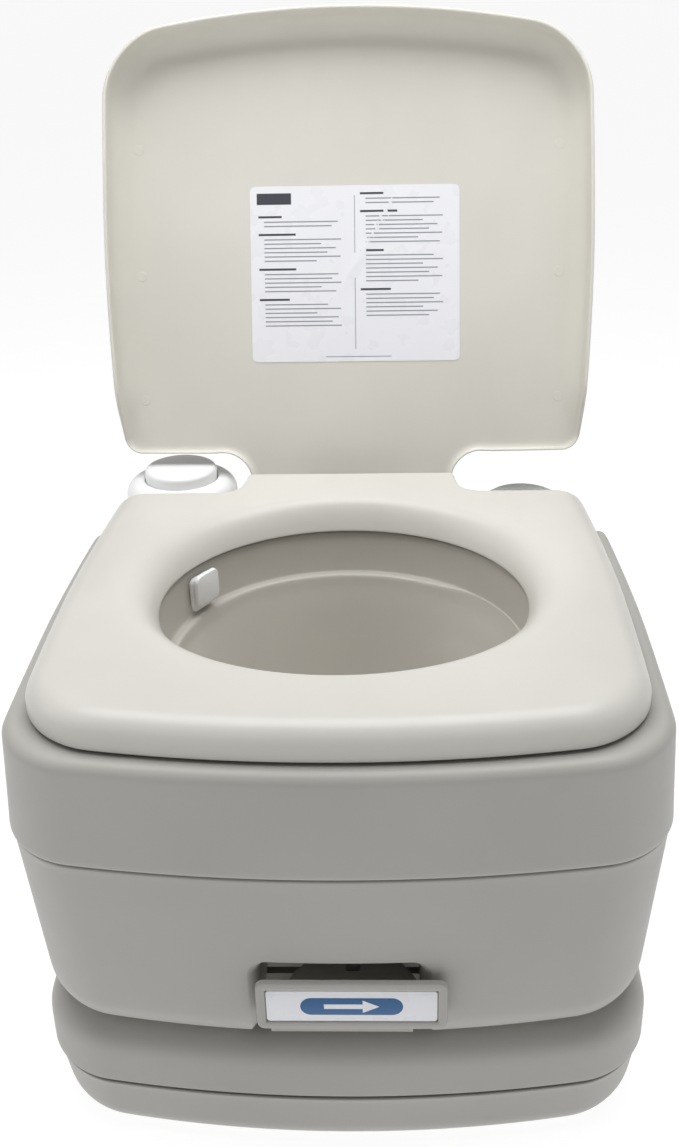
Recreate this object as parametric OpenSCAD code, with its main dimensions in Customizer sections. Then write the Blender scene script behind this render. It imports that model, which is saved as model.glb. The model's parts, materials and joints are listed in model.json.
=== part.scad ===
// Portable cassette toilet: a flush water tank with bowl, seat and lid on a removable waste tank.
// Millimetres. The front faces -Y, +Z is up, and the origin is on the floor under the tanks' middle.

/* [Flush tank] */
// Half of the flush tank's width at its rim
rim_half_w = 182.5; // [175:0.5:190]
// Half of the flush tank's width at the seam between its two mouldings
seam_half_w = 186; // [180:0.5:192]
// Half of the flush tank's width at its bottom edge
foot_half_w = 177; // [170:0.5:180]
// How far the front reaches forward of the origin
front_reach = 205; // [200:1:210]
// How far the back reaches behind the origin
rear_reach = 210; // [208:1:216]
// Height of the rim above the floor
rim_z = 274.5; // [270:0.5:280]
// Height of the seam above the floor
flush_seam_z = 209.5; // [195:0.5:220]
// Height of the lowered deck behind the seat
rear_deck_z = 248; // [244:0.5:252]
// Wall thickness of the blow-moulded tanks
wall = 3; // [2.5:0.1:3.5]

/* [Waste tank] */
// Height of the waste tank's top face
waste_top_z = 83.5; // [80:0.5:86]
// Height of the waste tank's seam
waste_seam_z = 41; // [35:0.5:48]
// Half of the waste tank's width at its shoulder
waste_half_w = 183; // [178:0.5:185]
// How far the waste tank reaches forward
waste_front = 193; // [188:1:198]
// How far the waste tank reaches back
waste_rear = 184; // [180:1:186]

/* [Plan shape] */
// Corner radius at the front
corner_front = 40; // [34:1:50]
// Corner radius at the back
corner_rear = 32; // [26:1:38]
// How far the front face bows out at its middle
bow_front = 20; // [10:1:24]
// How far each side bows out at its middle
bow_side = 3.3; // [0:0.1:5]
// Share of the width that the outline loses towards the back
rear_taper = 0.052; // [0:0.001:0.06]

/* [Seat and lid] */
// Half of the seat's width
seat_half_w = 169.5; // [165:0.5:170]
// How far the seat reaches forward
seat_front = 196; // [190:1:197]
// How far the seat's main outline reaches back
seat_rear = 117; // [112:1:118]
// Height of the seat's top face
seat_top_z = 297; // [294:0.5:297]
// Half width of the seat's opening
opening_rx = 113; // [100:1:118]
// Half depth of the seat's opening
opening_ry = 107; // [100:1:108]
// Distance of the opening's centre in front of the origin
opening_back = 24; // [22:1:28]
// Height of the lid's inner face when shut
lid_inner_z = 303; // [302:0.5:304]
// Distance of the lid's rear edge behind the origin when shut
lid_rear = 110; // [104:1:112]
// Lean of the open lid behind the vertical, degrees
lid_lean = 20; // [10:1:24]
// Height of the hinge axis
hinge_z = 281; // [280:0.5:282]
// Distance of the hinge axis behind the origin
hinge_y = 139; // [138:0.5:140]

/* [Pump and filler] */
// Distance of pump and filler from the middle plane
service_x = 127; // [124:1:128]
// Distance of pump and filler behind the origin
service_y = 165; // [163:1:166]
// Outer radius of the pump's collar
collar_r = 41; // [38:0.5:41]
// Radius of the pump's button
button_r = 26.5; // [24:0.5:27]
// Height of the button's top
button_top_z = 293.5; // [291:0.5:294]

/* [Slide valve] */
// Radius of the drain passage
drain_r = 45; // [40:1:46]
// Distance of the drain's centre in front of the origin
drain_back = 12; // [8:1:16]
// Thickness of the sliding blade
blade_t = 3.6; // [3:0.1:4]
// Width of the pull handle's face
handle_w = 104; // [100:1:108]
// Height of the pull handle's face
handle_h = 32.5; // [30:0.5:34]
// Half width of the hand notch in the flush tank
notch_half_w = 45; // [40:1:48]
// Height of the hand notch's top edge
notch_top_z = 148; // [146:1:152]

/* [Hidden] */

plastic = "#cfcabf";
plastic_shade = "#c2bdb2";
white = "#f4f4f2";
rubber = "#2c2c2e";
steel = "#b9bcc0";
blue = "#2f66a0";

bow_rear = 1;
corner_n = 6;
side_n = 3;
end_n = 5;
fine = 96;

// Clearances
gap = 0.3;
run = 0.05;

// Heights of the flush tank's underside and of the recess over the valve
flush_foot_z = waste_top_z + gap;
recess_top_z = waste_top_z + 26;
recess_half_w = 72;
recess_rear = 66;
recess_front = 163;

// Slide valve levels
housing_base_t = 3.5;
housing_top_z = waste_top_z + 20;
blade_z = waste_top_z + 9;
housing_half_w = 66;
housing_front = 158;
housing_rear = drain_r + 12 - drain_back + 14;
blade_half_w = 53;
blade_neck_half_w = 40;
blade_rear = drain_r + 6 - drain_back;
blade_front = -drain_r - 6 - drain_back;
seal_w = 4;
handle_x = 6.5;
handle_face_y = -206.5;
handle_low_z = 109;
handle_t = 4.7;
tongue_low_z = 110;
tongue_top_z = 126;

// Spout, vent and carry handle on the waste tank's back
spout_x = 112;
spout_z = 46;
vent_x = 58;
vent_z = 52;
grip_x0 = -132;
grip_x1 = -22;
grip_z = 44;

// Hinge stack along each pin, distances from the middle plane
knuckle_r = 7.5;
pin_r = 3.5;
ear_in = [29, 37.6];
lid_knuckle = [38, 51.2];
seat_knuckle = [51.6, 65.6];
ear_out = [66, 74.5];
step_y = 102;

// Latches
latch_y = 14;
latch_w = 40;
latch_pivot_z = 134;
latch_pivot_x = 186.5;

opening_y = -opening_back;
drain_y = -drain_back;

// ---- Plan outlines and lofted shells ----

function arc(c, r, a0, a1, n) =
    [for (i = [0:n]) c + r * [cos(a0 + (a1 - a0) * i / n), sin(a0 + (a1 - a0) * i / n)]];
function between(p, q, n) = [for (i = [1:n]) p + (q - p) * i / (n + 1)];
function mix(a, b, t) = a + (b - a) * t;

// Moves a point of a straight-sided outline out to the bowed one
function bowed(p, x, f, b) =
    let (u = p[0] / x, v = (p[1] - (f + b) / 2) / ((b - f) / 2))
    let (y = p[1] + (v < 0 ? bow_front : bow_rear) * v * (1 - u * u))
    [(p[0] + bow_side * u * (1 - v * v)) * (1 - rear_taper * pow(max(y + 40, 0) / 250, 1.4)), y];

// Rounded rectangle with bowed sides, anticlockwise from the front right corner
function plan(hw, front, rear, rf, rr, in) =
    let (x = hw - bow_side - in, f = -front + bow_front + in, b = rear - bow_rear - in,
         a = max(rf - in, 3), c = max(rr - in, 3),
         raw = concat(
             arc([x - a, f + a], a, -90, 0, corner_n), between([x, f + a], [x, b - c], side_n),
             arc([x - c, b - c], c, 0, 90, corner_n), between([x - c, b], [c - x, b], end_n),
             arc([c - x, b - c], c, 90, 180, corner_n), between([-x, b - c], [-x, f + a], side_n),
             arc([a - x, f + a], a, 180, 270, corner_n), between([a - x, f], [x - a, f], end_n)))
    [for (p = raw) bowed(p, x, f, b)];

function level(points, z) = [for (p = points) [p[0], p[1], z]];
function ring(hw, front, rear, z, in = 0) =
    level(plan(hw, front, rear, corner_front, corner_rear, in), z);
function oval(rx, ry, cy, z, n) =
    [for (i = [0:n - 1]) [rx * cos(360 * i / n), cy + ry * sin(360 * i / n), z]];
// Oval with one point opposite each point of an outline
function oval_like(points, rx, ry, cy, z) =
    [for (p = points) let (a = atan2((p[1] - cy) / ry, p[0] / rx)) [rx * cos(a), cy + ry * sin(a), z]];

// Skin through a stack of rings: capped at both ends, or joined from the last ring to the first
module loft(rings, joined = false) {
    n = len(rings[0]);
    m = len(rings);
    spans = joined ? m : m - 1;
    sides = [
        for (i = [0:spans - 1], j = [0:n - 1])
            let (a = i * n + j, b = i * n + (j + 1) % n, c = ((i + 1) % m) * n + j,
                 d = ((i + 1) % m) * n + (j + 1) % n)
            each [[a, c, d], [a, d, b]]
    ];
    caps = joined ? [] : [[for (j = [0:n - 1]) j], [for (j = [n - 1:-1:0]) (m - 1) * n + j]];
    polyhedron([for (r = rings, p = r) p], concat(sides, caps), convexity = 8);
}

// Cylinder or tube along an axis through a point
module tube(r, inner, h) {
    difference() {
        cylinder(r = r, h = h, $fn = fine);
        if (inner > 0) translate([0, 0, -1]) cylinder(r = inner, h = h + 2, $fn = fine);
    }
}
module along_x() { rotate([0, 90, 0]) children(); }
module along_y() { rotate([-90, 0, 0]) children(); }
module both_sides() { for (s = [0, 1]) mirror([s, 0, 0]) children(); }
module block(x, y, z) { translate([x[0], y[0], z[0]]) cube([x[1] - x[0], y[1] - y[0], z[1] - z[0]]); }

// ---- Waste tank ----

function waste_low(in) = [
    ring(waste_half_w - 7, waste_front - 4, waste_rear, in, 16 + in),
    ring(waste_half_w - 7, waste_front - 4, waste_rear, 2.5 + in * 0.8, 8.5 + in),
    ring(waste_half_w - 7, waste_front - 4, waste_rear, 8 + in * 0.4, 2.8 + in),
    ring(waste_half_w - 6.5, waste_front - 3.4, waste_rear, 16, in),
    ring(waste_half_w - 2, waste_front, waste_rear, waste_seam_z, in)
];

// Round mouth on the back, which both mouldings are cut for
module spout_hole() {
    translate([spout_x, waste_rear - 12, spout_z]) along_y() cylinder(r = 20, h = 20, $fn = fine);
}

module waste_tank_base() {
    color(plastic) difference() {
        loft(waste_low(0));
        loft(concat(waste_low(wall), [ring(waste_half_w - 2, waste_front, waste_rear, waste_seam_z + 1, wall)]));
        spout_hole();
    }
}

function waste_high(in, low) = [
    ring(waste_half_w, waste_front, waste_rear, low, in),
    ring(waste_half_w, waste_front, waste_rear, 66, in),
    ring(waste_half_w, waste_front, waste_rear, 74 - in * 0.4, 3 + in),
    ring(waste_half_w, waste_front, waste_rear, 80 - in * 0.7, 9 + in),
    ring(waste_half_w, waste_front, waste_rear, waste_top_z - in, 18 + in)
];

module waste_tank_top() {
    color(plastic) difference() {
        union() {
            difference() {
                loft(waste_high(0, waste_seam_z));
                loft(waste_high(wall, waste_seam_z - 1));
            }
            // Latch catches moulded on both sides
            both_sides() block([waste_half_w - 2.5, waste_half_w + 3.4], [latch_y - 12, latch_y + 12], [56, 62]);
        }
        translate([0, drain_y, waste_top_z - 6]) cylinder(r = drain_r + 2, h = 12, $fn = fine);
        spout_hole();
        translate([vent_x, waste_rear - 12, vent_z]) along_y() cylinder(r = 7, h = 20, $fn = fine);
    }
}

module valve_housing() {
    color(plastic_shade) difference() {
        union() {
            difference() {
                block([-housing_half_w, housing_half_w], [-housing_front, housing_rear], [waste_top_z, housing_top_z]);
                // Slot that the blade slides in, open to the front
                block([-blade_half_w - gap, blade_half_w + gap], [-housing_front - 1, blade_rear + gap],
                    [blade_z - blade_t / 2 - gap, blade_z + blade_t / 2 + gap]);
            }
        }
        translate([0, drain_y, waste_top_z - 1]) cylinder(r = drain_r, h = 30, $fn = fine);
        // Grooves for the two face seals
        for (z = [blade_z - blade_t / 2 - 3.5, blade_z + blade_t / 2])
            translate([0, drain_y, z]) tube(drain_r + seal_w, drain_r - 1, 3.5);
        valve_screw_places() translate([0, 0, -12]) cylinder(r = 1.6, h = 20, $fn = 32);
    }
}

module valve_seal(z) {
    color(rubber) translate([0, drain_y, z]) tube(drain_r + seal_w, drain_r, 3.3);
}
module valve_seal_lower() { valve_seal(blade_z - blade_t / 2 - 3.5); }
module valve_seal_upper() { valve_seal(blade_z + blade_t / 2 + 0.2); }

module valve_screw_places() {
    for (x = [-59.5, 59.5], y = [-140, -70, housing_rear - 8]) translate([x, y, housing_top_z]) children();
}
module valve_screws() {
    color(steel) valve_screw_places() {
        difference() {
            union() {
                cylinder(r = 3.2, h = 2.2, $fn = 48);
                translate([0, 0, -11]) cylinder(r = 1.6, h = 11.5, $fn = 32);
            }
            translate([-0.4, -2.2, 1.2]) cube([0.8, 4.4, 2]);
            translate([-2.2, -0.4, 1.2]) cube([4.4, 0.8, 2]);
        }
    }
}

module valve_blade() {
    color(plastic_shade) translate([0, 0, blade_z - blade_t / 2]) linear_extrude(blade_t)
        polygon(concat(
            [[-blade_half_w, blade_front], [-blade_neck_half_w, blade_front], [-blade_neck_half_w, -190],
             [blade_neck_half_w, -190], [blade_neck_half_w, blade_front], [blade_half_w, blade_front]],
            arc([blade_half_w - 14, blade_rear - 14], 14, 0, 90, 8),
            arc([14 - blade_half_w, blade_rear - 14], 14, 90, 180, 8)));
}

// Rounded upright plate, thickness along +Y from y
module upright_plate(w, h, t, r, x, y, z) {
    translate([x, y + t, z]) rotate([90, 0, 0]) linear_extrude(t)
        polygon(concat(arc([w / 2 - r, r], r, -90, 0, 6), arc([w / 2 - r, h - r], r, 0, 90, 6),
            arc([r - w / 2, h - r], r, 90, 180, 6), arc([r - w / 2, r], r, 180, 270, 6)));
}

module valve_handle() {
    blade_top = blade_z + blade_t / 2;
    back = handle_face_y + handle_t;
    color(plastic) {
        difference() {
            upright_plate(handle_w, handle_h, handle_t, 4, handle_x, handle_face_y, handle_low_z);
            upright_plate(handle_w - 10.4, handle_h - 10.4, 3, 2, handle_x, handle_face_y - 1, handle_low_z + 5.2);
        }
        // Tongue that narrows towards the back, with a small slot in its top, and the foot on the blade
        difference() {
            translate([handle_x, 0, tongue_low_z]) linear_extrude(tongue_top_z - tongue_low_z)
                polygon([[-38, back - 0.1], [38, back - 0.1], [36.5, -187], [28, -174], [27, -168],
                    [-27, -168], [-28, -174], [-36.5, -187]]);
            block([handle_x - 4, handle_x + 4], [-180, -174], [tongue_top_z - 10, tongue_top_z + 1]);
        }
        block([handle_x - 26, handle_x + 26], [-186, -172], [blade_top, tongue_low_z + 2]);
    }
}

module handle_label() {
    color(blue) upright_plate(handle_w - 11, handle_h - 11, 1.2, 1.8, handle_x, handle_face_y + 0.6, handle_low_z + 5.5);
}

module spout() {
    color(plastic) translate([spout_x, waste_rear - 9, spout_z]) along_y() {
        difference() {
            union() {
                tube(19.8, 16.5, 26);
                translate([0, 0, 9.2]) tube(25, 16.5, 2.5);
            }
        }
    }
}
module spout_gasket() {
    color(rubber) translate([spout_x, waste_rear + 17.3, spout_z]) along_y() tube(19.6, 15.5, 1.6);
}
module spout_cap() {
    color(white) translate([spout_x, waste_rear + 3.2, spout_z]) along_y() difference() {
        union() {
            cylinder(r = 24, h = 19, $fn = fine);
            for (i = [0:17]) rotate(i * 20) translate([24, 0, 1.5]) cylinder(r = 1.6, h = 16, $fn = 24);
        }
        translate([0, 0, -1]) cylinder(r = 20.1, h = 17, $fn = fine);
    }
}

module vent_socket() {
    color(plastic_shade) translate([vent_x, waste_rear - 14, vent_z]) along_y() difference() {
        union() {
            cylinder(r = 6.9, h = 18, $fn = fine);
            translate([0, 0, 14.2]) cylinder(r = 11, h = 3.8, $fn = fine);
        }
        translate([0, 0, 2.5]) cylinder(r = 5.3, h = 20, $fn = fine);
        translate([0, 0, -1]) cylinder(r = 1.5, h = 6, $fn = 32);
    }
}
module vent_spring() {
    color(steel) translate([vent_x, waste_rear - 14 + 2.6, vent_z]) along_y() tube(4.2, 3.2, 7.2);
}
module vent_button() {
    color(white) translate([vent_x, waste_rear - 4, vent_z]) along_y() {
        cylinder(r = 5, h = 13, $fn = fine);
        translate([0, 0, 13]) rotate_extrude($fn = fine)
            polygon([[0, 0], [5, 0], [4.6, 0.9], [3.4, 1.6], [0, 2]]);
    }
}

// Fixed grip on the back of the waste tank
module carry_handle() {
    color(plastic) difference() {
        union() {
            for (x = [grip_x0, grip_x1 - 14])
                block([x, x + 14], [waste_rear + 0.2, waste_rear + 24], [grip_z, grip_z + 15]);
            block([grip_x0, grip_x1], [waste_rear + 16, waste_rear + 24], [grip_z, grip_z + 15]);
        }
        grip_screw_places() cylinder(r = 3.6, h = 30, $fn = 32);
        grip_screw_places() translate([0, 0, -20]) cylinder(r = 1.7, h = 22, $fn = 32);
    }
}
module grip_screw_places() {
    for (x = [grip_x0 + 7, grip_x1 - 7]) translate([x, waste_rear + 14, grip_z + 7.5]) along_y() children();
}
module carry_handle_screws() {
    color(steel) grip_screw_places() difference() {
        union() {
            cylinder(r = 3.4, h = 2.4, $fn = 48);
            translate([0, 0, -16]) cylinder(r = 1.7, h = 16.5, $fn = 32);
        }
        translate([-0.4, -2.2, 1.4]) cube([0.8, 4.4, 2]);
        translate([-2.2, -0.4, 1.4]) cube([4.4, 0.8, 2]);
    }
}

// ---- Flush tank ----

// One level of the tapering lower moulding; t is 0 at the foot and 1 at the seam
function flush_low_ring(t, z, in) =
    ring(mix(foot_half_w, seam_half_w - 1.2, t), mix(front_reach - 8, front_reach - 1, t),
        mix(rear_reach - 14, rear_reach - 2, t), z, in);

function flush_low(in, top) = [
    flush_low_ring(0, flush_foot_z + in, 20 + in),
    flush_low_ring(0, flush_foot_z + 2.5 + in * 0.8, 11.5 + in),
    flush_low_ring(0, flush_foot_z + 8 + in * 0.4, 5 + in),
    flush_low_ring(0.02, flush_foot_z + 15, 1.4 + in),
    flush_low_ring(0.06, flush_foot_z + 24, in),
    flush_low_ring(1, top, in)
];

module notch_outline(grow, low) {
    polygon(concat(
        [[-notch_half_w - grow, low], [notch_half_w + grow, low]],
        arc([notch_half_w - 8, notch_top_z - 8], 8 + grow, 0, 90, 6),
        arc([8 - notch_half_w, notch_top_z - 8], 8 + grow, 90, 180, 6)));
}
module notch_space(grow, low, back) {
    translate([0, back, 0]) rotate([90, 0, 0]) linear_extrude(back + 260) notch_outline(grow, low);
}
// Space under the tank for the valve, and the way in to it from the front
module valve_recess(grow) {
    block([-recess_half_w - grow, recess_half_w + grow], [-recess_front - grow, recess_rear + grow],
        [0, recess_top_z + grow]);
    notch_space(grow, 0, -recess_front + 4 + grow);
}

module flush_tank_base() {
    color(plastic) difference() {
        union() {
            difference() {
                loft(flush_low(0, flush_seam_z));
                loft(flush_low(wall, flush_seam_z + 1));
            }
            intersection() {
                loft(flush_low(1, flush_seam_z));
                valve_recess(wall);
            }
            latch_bosses();
        }
        valve_recess(0);
        translate([0, drain_y, recess_top_z - 6]) cylinder(r = drain_r + 8, h = 20, $fn = fine);
        latch_pin_holes();
    }
}

module latch_bosses() {
    both_sides() for (y = [latch_y - latch_w / 2 - 7, latch_y + latch_w / 2 + 1])
        intersection() {
            union() {
                translate([latch_pivot_x, y, latch_pivot_z]) along_y() cylinder(r = 4.5, h = 6, $fn = 48);
                block([176, latch_pivot_x], [y, y + 6], [latch_pivot_z - 4.5, latch_pivot_z + 4.5]);
            }
            block([178.4, 200], [-60, 80], [100, 160]);
        }
}
module latch_pin_holes() {
    both_sides() translate([latch_pivot_x, latch_y - latch_w / 2 - 8, latch_pivot_z]) along_y()
        cylinder(r = 1.8, h = latch_w + 16, $fn = 32);
}
module latch_pin(side) {
    color(steel) translate([side * latch_pivot_x, latch_y - latch_w / 2 - 7, latch_pivot_z]) along_y()
        cylinder(r = 1.8, h = latch_w + 14, $fn = 48);
}
module latch_pin_left() { latch_pin(-1); }
module latch_pin_right() { latch_pin(1); }

module latch(side) {
    y0 = latch_y - latch_w / 2;
    color(plastic_shade) mirror([side < 0 ? 1 : 0, 0, 0]) difference() {
        union() {
            translate([latch_pivot_x, y0 + gap, latch_pivot_z]) along_y() cylinder(r = 4.2, h = latch_w - 2 * gap, $fn = 64);
            block([latch_pivot_x + 0.6, latch_pivot_x + 4], [y0 + gap, y0 + latch_w - gap], [50, latch_pivot_z]);
            block([latch_pivot_x + 0.6, latch_pivot_x + 9], [y0 + 6, y0 + latch_w - 6], [46, 51]);
        }
        translate([latch_pivot_x, y0 - 1, latch_pivot_z]) along_y() cylinder(r = 1.8 + run, h = latch_w + 2, $fn = 64);
    }
}
module latch_left() { latch(-1); }
module latch_right() { latch(1); }

function flush_high(in, top) = [
    ring(seam_half_w, front_reach - 0.3, rear_reach - 1, flush_seam_z - (in > 0 ? 1 : 0), in),
    ring(seam_half_w - 0.6, front_reach, rear_reach, flush_seam_z + 6, in),
    ring(rim_half_w, front_reach, rear_reach, top - 9, in),
    ring(rim_half_w, front_reach, rear_reach, top - 3.5 - in * 0.2, 1.6 + in),
    ring(rim_half_w, front_reach, rear_reach, top - 1 - in * 0.6, 4.5 + in),
    ring(rim_half_w, front_reach, rear_reach, top - in, 9 + in)
];

module rear_deck_cut(shift) { block([-250, 250], [step_y - shift, 260], [rear_deck_z - shift, 400]); }

module opening_prism(grow, z0, z1) {
    translate([0, 0, z0]) linear_extrude(z1 - z0)
        polygon([for (p = oval(opening_rx + grow, opening_ry + grow, opening_y, 0, 48)) [p[0], p[1]]]);
}

module hinge_ears() {
    pedestal_top = hinge_z - 25;
    block([-76, 76], [step_y - 1, hinge_y + 15], [rear_deck_z - 1, pedestal_top]);
    both_sides() for (e = [ear_in, ear_out]) {
        block(e, [hinge_y - knuckle_r, hinge_y + knuckle_r], [pedestal_top - 1, hinge_z]);
        translate([e[0], hinge_y, hinge_z]) along_x() cylinder(r = knuckle_r, h = e[1] - e[0], $fn = 64);
    }
}

module flush_tank_top() {
    color(plastic) difference() {
        union() {
            difference() {
                loft(flush_high(0, rim_z));
                rear_deck_cut(0);
                difference() {
                    loft(flush_high(wall, rim_z));
                    rear_deck_cut(wall);
                }
            }
            hinge_ears();
        }
        opening_prism(11.7, rim_z - 8, rim_z + 4);
        translate([-service_x, service_y, rear_deck_z - 10]) cylinder(r = 31, h = 20, $fn = fine);
        translate([service_x, service_y, rear_deck_z - 10]) cylinder(r = 22.2, h = 20, $fn = fine);
        hinge_bore(pin_r);
    }
}
module hinge_bore(r) {
    both_sides() translate([ear_in[0] - 1, hinge_y, hinge_z]) along_x() cylinder(r = r, h = 47, $fn = 64);
}
module hinge_pin(side) {
    color(steel) mirror([side < 0 ? 1 : 0, 0, 0]) translate([ear_in[0] - 0.5, hinge_y, hinge_z]) along_x()
        cylinder(r = pin_r, h = ear_out[1] - ear_in[0] + 1, $fn = 64);
}
module hinge_pin_left() { hinge_pin(-1); }
module hinge_pin_right() { hinge_pin(1); }

// Bowl levels: [height, how much smaller than the opening, share of the way to the round drain]
bowl_levels = [[rim_z, -3, 0], [258, -1.5, 0], [244, 0, 0], [240, 5, 0.02], [236, 6.5, 0.03], [215, 8, 0.12],
    [190, 9, 0.27], [165, 9, 0.45], [142, 6, 0.66], [125, 3, 0.85], [112, 0, 1], [housing_top_z + 2, 0, 1]];
function bowl_ring(l, grow, dz = 0) =
    let (r = drain_r + 1)
    oval(mix(opening_rx - l[1], r, l[2]) + grow, mix(opening_ry - l[1], r, l[2]) + grow,
        mix(opening_y, drain_y, l[2]), l[0] + dz, 48);
module bowl() {
    color(plastic_shade) {
        loft(concat(
            [oval(opening_rx + 6, opening_ry + 6, opening_y, rim_z - 3, 48),
             oval(opening_rx + 11.4, opening_ry + 11.4, opening_y, rim_z - 3, 48),
             oval(opening_rx + 11.4, opening_ry + 11.4, opening_y, rim_z, 48)],
            [for (l = bowl_levels) bowl_ring(l, 0)],
            [for (i = [len(bowl_levels) - 1:-1:1]) bowl_ring(bowl_levels[i], 3, i < len(bowl_levels) - 1 ? -0.8 : 0)]),
            joined = true);
    }
}
module drain_seal() {
    color(rubber) translate([0, drain_y, housing_top_z + 0.3]) difference() {
        cylinder(r = drain_r + 7.6, h = 7, $fn = fine);
        translate([0, 0, -1]) cylinder(r = drain_r + 0.2, h = 20, $fn = fine);
        translate([0, 0, 1.5]) cylinder(r = drain_r + 4.1, h = 20, $fn = fine);
    }
}

// Flush nozzle on the bowl's wall at the rear left
nozzle_angle = 149.5;
nozzle_z = 258.5;
module at_nozzle() {
    translate([(opening_rx + 1) * cos(nozzle_angle), opening_y + (opening_ry + 1) * sin(nozzle_angle), nozzle_z])
        rotate(atan2(opening_rx * sin(nozzle_angle), opening_ry * cos(nozzle_angle)) + 90) children();
}
module nozzle_base() {
    color(white) at_nozzle() difference() {
        union() {
            upright_plate(20, 24, 2.5, 4, 0, 0.6, -12.5);
            translate([0, -9, 0]) along_y() cylinder(r = 6, h = 14, $fn = 48);
        }
        translate([0, -8, 0]) along_y() cylinder(r = 4, h = 30, $fn = 48);
    }
}
module nozzle_cap() {
    color(white) at_nozzle() upright_plate(22, 22, 4, 5, 0, 5.2, -7);
}

// Hose from the pump's outlet to the nozzle: route points and sweep
hose_r = 5;
hose_route = [[-104, 148, 226], [-99, 134, 228], [-98, 118, 231], [-102, 102, 236.5], [-109, 87, 243.5],
    [-116, 72, 251], [-120, 58, 256.5], [-118.5, 47, 258.5], [-112.8, 39.9, 258.5], [-106.2, 35.8, 258.5]];
function unit(v) = v / norm(v);
function route_dir(i) = unit(hose_route[min(i + 1, len(hose_route) - 1)] - hose_route[max(i - 1, 0)]);
function hose_ring(i) =
    let (d = route_dir(i), a = unit(cross([0, 0, 1], d)), b = cross(d, a))
    [for (k = [0:9]) hose_route[i] + hose_r * (cos(36 * k) * a + sin(36 * k) * b)];
module flush_hose() {
    color(rubber) loft([for (i = [0:len(hose_route) - 1]) hose_ring(i)]);
}

// ---- Pump ----

module at_pump() { translate([-service_x, service_y, 0]) children(); }

module pump_collar() {
    z0 = rear_deck_z + 0.1;
    z1 = 285;
    e = 9;
    color(white) at_pump() rotate_extrude($fn = fine)
        polygon(concat(
            [[collar_r, z0]], arc([collar_r - e, z1 - e], e, 0, 90, 8),
            [[button_r + 0.6, z1], [button_r + 0.6, z0], [button_r + 3.1, z0], [button_r + 3.1, z1 - 3]],
            arc([collar_r - e, z1 - e], e - 2.5, 90, 0, 8), [[collar_r - 2.5, z0]]));
}
module pump_cylinder() {
    color(plastic_shade) at_pump() difference() {
        union() {
            translate([0, 0, 210]) cylinder(r = 30.5, h = rear_deck_z - 210, $fn = fine);
            rotate(-37) translate([28, 0, 226]) along_x() cylinder(r = 6, h = 8, $fn = 48);
        }
        translate([0, 0, 213]) cylinder(r = button_r + 1.5, h = 60, $fn = fine);
        translate([0, 0, 200]) cylinder(r = 4, h = 20, $fn = 48);
        rotate(-37) translate([20, 0, 226]) along_x() cylinder(r = 3.5, h = 20, $fn = 48);
    }
}
bellows_low = 214;
module pump_bellows() {
    folds = 8;
    top = button_top_z - 13.4;
    step = (top - bellows_low) / folds;
    zig = [for (i = [0:folds - 1]) each [[20, bellows_low + i * step + 0.6], [25, bellows_low + (i + 0.5) * step]]];
    color(rubber) at_pump() rotate_extrude($fn = fine)
        polygon(concat([[18.6, bellows_low], [20, bellows_low]], zig, [[20, top], [18.6, top]],
            [for (i = [len(zig) - 1:-1:0]) zig[i] - [1.4, 0]]));
}
module pump_button() {
    color(white) at_pump() rotate_extrude($fn = fine)
        polygon(concat(
            [[0, button_top_z - 13], [button_r - 1, button_top_z - 13], [button_r, button_top_z - 12]],
            arc([button_r - 3, button_top_z - 3.6], 3, 0, 80, 6), [[0, button_top_z]]));
}
module intake_tube() {
    color(plastic_shade) at_pump() translate([0, 0, 104]) tube(5.5, 4, 106);
}
module check_valve() {
    color(plastic_shade) at_pump() difference() {
        union() {
            translate([0, 0, 92]) cylinder(r = 9, h = 8, $fn = 64);
            translate([0, 0, 100]) cylinder(r = 7.5, h = 4, $fn = 64);
        }
        translate([0, 0, 95]) cylinder(r = 4, h = 20, $fn = 48);
        for (a = [0:45:315]) rotate(a) block([3, 12], [-1, 1], [91, 96.5]);
    }
}

// ---- Filler ----

module at_filler() { translate([service_x, service_y, 0]) children(); }
module filler_neck() {
    color(plastic_shade) at_filler() {
        translate([0, 0, rear_deck_z - 9]) tube(22, 18.5, 23);
        translate([0, 0, rear_deck_z + 0.05]) tube(28, 21.9, 2);
    }
}
module filler_gasket() {
    color(rubber) at_filler() translate([0, 0, rear_deck_z + 14.2]) tube(21.8, 17.5, 1.6);
}
module filler_cap() {
    color(white) at_filler() translate([0, 0, rear_deck_z + 2.5]) difference() {
        union() {
            cylinder(r = 26, h = 16.8, $fn = fine);
            for (i = [0:19]) rotate(i * 18) translate([26, 0, 1]) cylinder(r = 1.5, h = 14, $fn = 24);
            block([-20, 20], [-3, 3], [16, 20]);
        }
        translate([0, 0, -1]) cylinder(r = 22.3, h = 14.5, $fn = fine);
    }
}

// ---- Seat ----

function seat_plan(in) = plan(seat_half_w, seat_front, seat_rear, corner_front, 18, in);

module seat_tab(z0, z1, in) {
    translate([0, 0, z0]) linear_extrude(z1 - z0)
        polygon(concat(
            [[-100 + in, seat_rear - 25], [100 - in, seat_rear - 25], [96 - in, seat_rear - 1.2 - in]],
            arc([96 - in, seat_rear + 18.5], 19.7 + in, 270, 184, 8),
            arc([76 - in - 4, hinge_y - 1], 4, 0, 90, 4),
            arc([4 + in - 76, hinge_y - 1], 4, 90, 180, 4),
            arc([in - 96, seat_rear + 18.5], 19.7 + in, 356, 270, 8)));
}

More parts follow.
